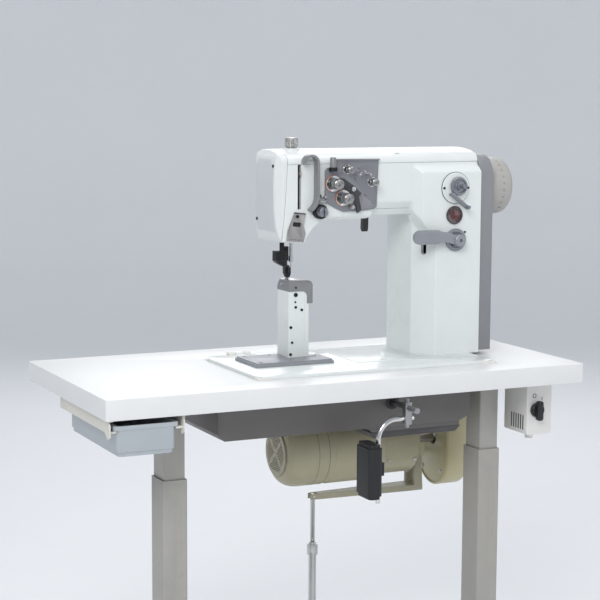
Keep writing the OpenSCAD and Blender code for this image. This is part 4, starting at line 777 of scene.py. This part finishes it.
def plate_fittings():
    """The dark bridge on the tension plate, and the small guides around it."""
    y = PLATE_FRONT
    bridge = prism([(52, 390), (60, 389), (82, 374), (101, 357), (95, 350), (101, 322), (92, 316),
                    (90, 330), (80, 346), (66, 366)], "y", y - 7.3, y - 0.1)
    cut(bridge, prism(disc_points(60, 348, 18.8, 48), "y", y - 12, y + 2))
    bevel(bridge, 0.8, 2, 40)
    done(bridge, "tension_bridge", "head", "tension_grey", mat="bridge_dark")
    base = lathe([(0, 404), (8.4, 404), (9, 404.6), (9, 411), (8.2, 412), (0, 412)], "z",
                 (33, y - 9.2, 0), segs=40)
    done(base, "pin_base", "head", "guide_steel", mat="screw_black")
    cap = lathe([(0, 412), (6.5, 412), (6.5, 430), (5.8, 432.2), (4.2, 433), (0, 433)], "z",
                (33, y - 9.2, 0), segs=40)
    done(cap, "pin_cap", "head", "guide_steel", mat="strip_grey")
    eyes = block((5, -52, 341), (19.5, -40, 344))
    for x in (8.5, 15.5):
        cut(eyes, prism(disc_points(x, -48, 1.6, 16), "z", 339, 346))
    parts = [eyes, block((27.5, y - 8.5, 404.5), (38.5, y, 409.5))]
    for x, z in ((8.5, 353), (16, 351)):
        parts.append(lathe([(0, 0), (3, 0), (3, 12.6), (2.2, 14), (0, 14)], "-y", (x, -40, z), segs=24))
    for x, z in ((96, 396), (106, 402), (118, 396)):
        parts.append(lathe([(0, 0), (2.4, 0), (2.4, 4), (1.5, 4.6), (1.5, 10), (2.4, 10.6), (2.4, 12.6),
                            (1.6, 13.6), (0, 13.6)], "-y", (x, y, z), segs=20))
    parts.append(tube([(94, y - 11, 391), (93, y - 12, 396), (95, y - 12.4, 400), (100, y - 12.4, 400.6),
                       (106, y - 12.4, 398), (112, y - 12.4, 399.6), (118, y - 12.4, 399.4),
                       (121.5, y - 12.4, 396), (120, y - 11, 391.6)], 1.0, segs=8))
    parts.append(lathe([(0, 0), (4, 0), (4, 9), (2.6, 10), (2.6, 12), (4, 13), (4, 15.2), (3, 16), (0, 16)],
                       "-y", (78, y, 329), segs=28))
    guides = join("guides", parts)
    bevel(guides, 0.2, 1, 50)
    done(guides, "thread_guides_piece", "head", "guide_steel", ("thread_guides",))
    head = lathe([(0, 0), (5, 0), (5, 2.6), (4.2, 3.6), (2.4, 3.9), (2.4, 2.2), (0, 2.2)], "-y",
                 (81, y - 7.2, 366), segs=32)
    done(head, "bridge_screw", "head", "tension_grey", mat="satin_steel")


def column_fittings():
    """The winder with its plate, and the sight glass."""
    y = COL_FRONT
    plate = lathe([(0, 0.2), (33, 0.2), (33, 2.2), (32.4, 2.9), (0, 2.9)], "-y",
                  (WINDER[0], y, WINDER[1]), segs=96)
    done(plate, "winder_plate", "head", "head_white")
    bezel = lathe([(10, 0), (19.5, 0), (19.5, 3.2), (18.4, 4.4), (15.6, 4.5), (13.4, 3.4), (10, 3.2)], "-y",
                  (SIGHT_GLASS[0], y, SIGHT_GLASS[1]), segs=72, closed=True)
    done(bezel, "sight_glass_bezel", "head", "sight_glass")
    dome = lathe([(0, 2.4), (11.4, 2.4), (11.4, 3.2), (8, 3.9), (0, 4.3)], "-y",
                 (SIGHT_GLASS[0], y, SIGHT_GLASS[1]), segs=48)
    done(dome, "sight_glass_piece", "head", "sight_glass", ("sight_glass",), mat="lens_red")
    x, z, y0 = WINDER[0] + 5, WINDER[1] + 4, y - 4
    disc = fluted([(0, 0, 0), (18.6, 0, 0), (20, 0.8, 1), (20, 4.4, 1), (19.2, 5.6, 0), (18.4, 7.4, 0),
                   (16.4, 8, 0), (14.4, 7.4, 0), (13, 5.2, 0), (9.2, 5.2, 0), (8.4, 6.0, 0), (8.0, 11, 0),
                   (7.2, 12, 0), (4.8, 12.2, 0), (4.6, 30, 0), (3.6, 30, 0), (3.2, 29.0, 0), (0, 29, 0)],
                  "-y", (x, y0, z), 44, 0.35)
    done(disc, "winder_spindle_piece", "winder", "dial_grey", ("winder_spindle",))
    clip = tube([(x + 4.9, y0 - 13, z - 5), (x + 5.6, y0 - 16, z - 2), (x + 5.4, y0 - 22, z + 1.5),
                 (x + 4.6, y0 - 28, z + 2)], 0.7, segs=8)
    done(clip, "winder_spindle_clip", "winder", "guide_steel")
    ring = lathe([(32.9, 0.2), (34.2, 0.2), (34.2, 0.9), (32.9, 0.9)], "-y",
                 (WINDER[0], y, WINDER[1]), segs=96, closed=True)
    done(ring, "winder_plate_seam", "head", "head_white", mat="mark_dark")


def grille():
    """Perforated end of the motor: fine round holes in four fields around a crossed bridge."""
    mid = (MOTOR_Y, MOTOR_Z)
    plate = prism(disc_points(*mid, 50.6, 72), "x", FAN_X, FAN_X + 3)
    holes = []
    step = 5.4
    for i in range(-9, 10):
        for j in range(-9, 10):
            u = (i + (0.5 if j % 2 else 0.0)) * step
            v = j * step * 0.866
            a = abs(abs(u) - abs(v))
            if math.hypot(u, v) > 42 or a < 5.2:
                continue
            holes.append(prism(disc_points(mid[0] + u, mid[1] + v, 2.0, 8), "x", FAN_X - 6, FAN_X + 6))
    cut(plate, join("holes", holes))
    done(plate, "motor_fan_cover_piece", "table", "grille_beige", ("motor_fan_cover",), 30)
    back = prism(disc_points(*mid, 46, 40), "x", FAN_X + 4.5, FAN_X + 5)
    done(back, "motor_fan_shadow", "table", "grille_beige", mat="shadow_fill_black")


def under_table():
    """Small parts on the motor, belt cover, switch and oil pan."""
    my, mz = MOTOR_Y, MOTOR_Z
    bolts = []
    for x in (222, 286):
        for a in (205, 250, 335):
            c, q = math.cos(math.radians(a)), math.sin(math.radians(a))
            bolt = lathe([(0, -2), (4.2, -2), (4.2, 2.2), (3.4, 3), (0, 3)], "z", (0, 0, 0), segs=6)
            turn = Matrix.Rotation(math.radians(a - 90), 4, "X")
            bolt.data.transform(Matrix.Translation(at(x, my + 68 * c, mz + 68 * q)) @ turn
                                @ Matrix.Translation(-at(0, 0, 0)))
            bolts.append(bolt)
    done(join("bolts", bolts), "motor_bolts", "table", "motor_beige", mat="satin_steel")
    for name, x in (("a", 44), ("b", 69)):
        band = lathe([(MOTOR_R - 2.5, 0), (MOTOR_R + 0.2, 0), (MOTOR_R + 0.2, 0.9), (MOTOR_R - 2.5, 0.9)],
                     "x", (x, my, mz), segs=96, closed=True)
        done(band, "motor_seam_" + name, "table", "motor_beige", mat="seam_brown")
    sump = prism([(87, -135), (95, -147.7), (290, -147.7), (302, -137), (302, -135)], "y", -126.8, 10.6)
    bevel(sump, 0.8, 2, 40)
    done(sump, "sump_cover", "table", "pan_grey", mat="pan_dark")
    low = mz - 36
    rim_x, rim_r, rim_top = BELT_COVER_X - 0.8, 66, -156
    rim = [(rim_x, my - rim_r, rim_top)]
    for i in range(37):
        a = math.radians(180 + 5 * i)
        rim.append((rim_x, my + rim_r * math.cos(a), low + rim_r * math.sin(a)))
    rim.append((rim_x, my + rim_r, rim_top))
    done(tube(rim, 1.7, segs=8), "belt_cover_rim", "table", "cover_beige")
    screws = [lathe([(0, 0), (5, 0), (5, 1.4), (3.6, 2.8), (1.2, 3.0), (0, 2.2)], "-x",
                    (BELT_COVER_X, my + u, mz + v), segs=24) for u, v in ((-46, 34), (-40, -70), (44, -72))]
    done(join("screws", screws), "belt_cover_screws", "table", "cover_beige", mat="satin_steel")
    ring = lathe([(7, 0), (13.4, 0), (14.6, 1), (14.6, 2.6), (13, 3.8), (8, 4.4), (7, 3.6)], "-y",
                 (KNEE[0], -136.1, KNEE[1]), segs=40, closed=True)
    done(ring, "knee_grommet", "table", "pan_grey", mat="pad_rubber")
    marks = [lathe([(3.2, 0), (4.6, 0), (4.6, 0.25), (3.2, 0.25)], "-y", (455, SWITCH_Y, -75.4), segs=28,
                   closed=True), block((473.1, SWITCH_Y - 0.25, -87), (474.7, SWITCH_Y, -79))]
    done(join("marks", marks), "switch_marks", "table", "switch_white", mat="mark_dark")
    # painted shade: thin dark strips on the box face stand for the shadow inside its vent slots
    vents = [block((SWITCH_X - 0.25, -166 + 9 * i, -150), (SWITCH_X + 0.05, -162 + 9 * i, -118))
             for i in range(6)]
    done(join("vents", vents), "switch_vents", "table", "switch_white", mat="mark_dark")
    gap = lathe([(16, 0), (55, 0), (55, 0.6), (16, 0.6)], "x", (GUARD_X1 + 0.02, SHAFT_Y, SHAFT_Z),
                segs=64, closed=True)
    done(gap, "wheel_gap_shadow", "head", "guard_grey", mat="shadow_fill_black")


def belt():
    """The rubber belt, its mesh cut into short lengths under the table."""
    me = NODES["drive_belt"].data.copy()
    bm = bmesh.new()
    bm.from_mesh(me)
    bmesh.ops.remove_doubles(bm, verts=bm.verts, dist=2e-6)
    cuts, cut_z, cut_step = 22, 0.64, 0.01
    for i in range(cuts):
        bmesh.ops.bisect_plane(bm, geom=bm.verts[:] + bm.edges[:] + bm.faces[:],
                               plane_co=(0, 0, cut_z + cut_step * i), plane_no=(0, 0, 1))
    bmesh.ops.recalc_face_normals(bm, faces=bm.faces)
    bm.to_mesh(me)
    bm.free()
    me.materials.clear()
    me.materials.append(MATS["belt_rubber"])
    o = smooth(link("drive_belt_piece", me))
    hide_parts("drive_belt")
    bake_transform(o)


casting()
face()
tensions()
guards()
plate_fittings()
column_fittings()
grille()
under_table()
belt()

# ---------------------------------------------------------------- nodes with rounded edges

for node, width, segments in (
    ("stand_feet", 2.5, 3), ("foot_pads", 0.8, 2), ("lower_leg_tubes", 0.6, 2),
    ("stand_crossbar", 1.5, 2), ("treadle_plate", 0.8, 2), ("table_top", 1.6, 3),
    ("upper_leg_tubes", 0.6, 2), ("oil_pan", 1.6, 3), ("motor_housing", 1.8, 3), ("belt_cover", 1.2, 2),
    ("motor_bracket", 1.2, 2), ("drawer_runners", 0.3, 1), ("switch_box", 0.9, 2),
    ("bed_supports", 0.6, 2), ("motor_pulley", 0.5, 1), ("clutch_lever", 1.2, 2),
    ("pitman_rod", 0.4, 1), ("pitman_tube", 0.5, 2), ("drawer_tray", 0.9, 2), ("switch_knob", 1.0, 2),
    ("knee_shaft", 0.7, 2), ("knee_rod", 0.8, 2), ("knee_pad", 5.5, 5), ("bed_plate", 1.2, 2),
    ("arm_top_cover", 1.2, 3), ("belt_guard", 1.6, 3), ("post_base_plate", 0.9, 2),
    ("post_casting", 1.5, 3), ("post_cap", 3.0, 4), ("needle_plate", 0.25, 1), ("tension_plate", 0.45, 2),
    ("head_screws", 0.2, 1), ("handwheel", 0.8, 2), ("arm_shaft", 0.5, 1),
    ("lower_shaft", 0.5, 1), ("rotary_hook", 0.4, 1), ("feed_wheel", 0.0, 1), ("needle_bar", 0.3, 1),
    ("presser_bar", 1.0, 2), ("roller_foot", 0.0, 1), ("takeup_lever", 0.6, 2), ("pressure_knob", 0.4, 2),
    ("winder_lever", 0.6, 2), ("reverse_lever", 2.4, 4), ("stitch_dial", 0.4, 2), ("lift_lever", 1.4, 3),
):
    refine(node, width, segments)
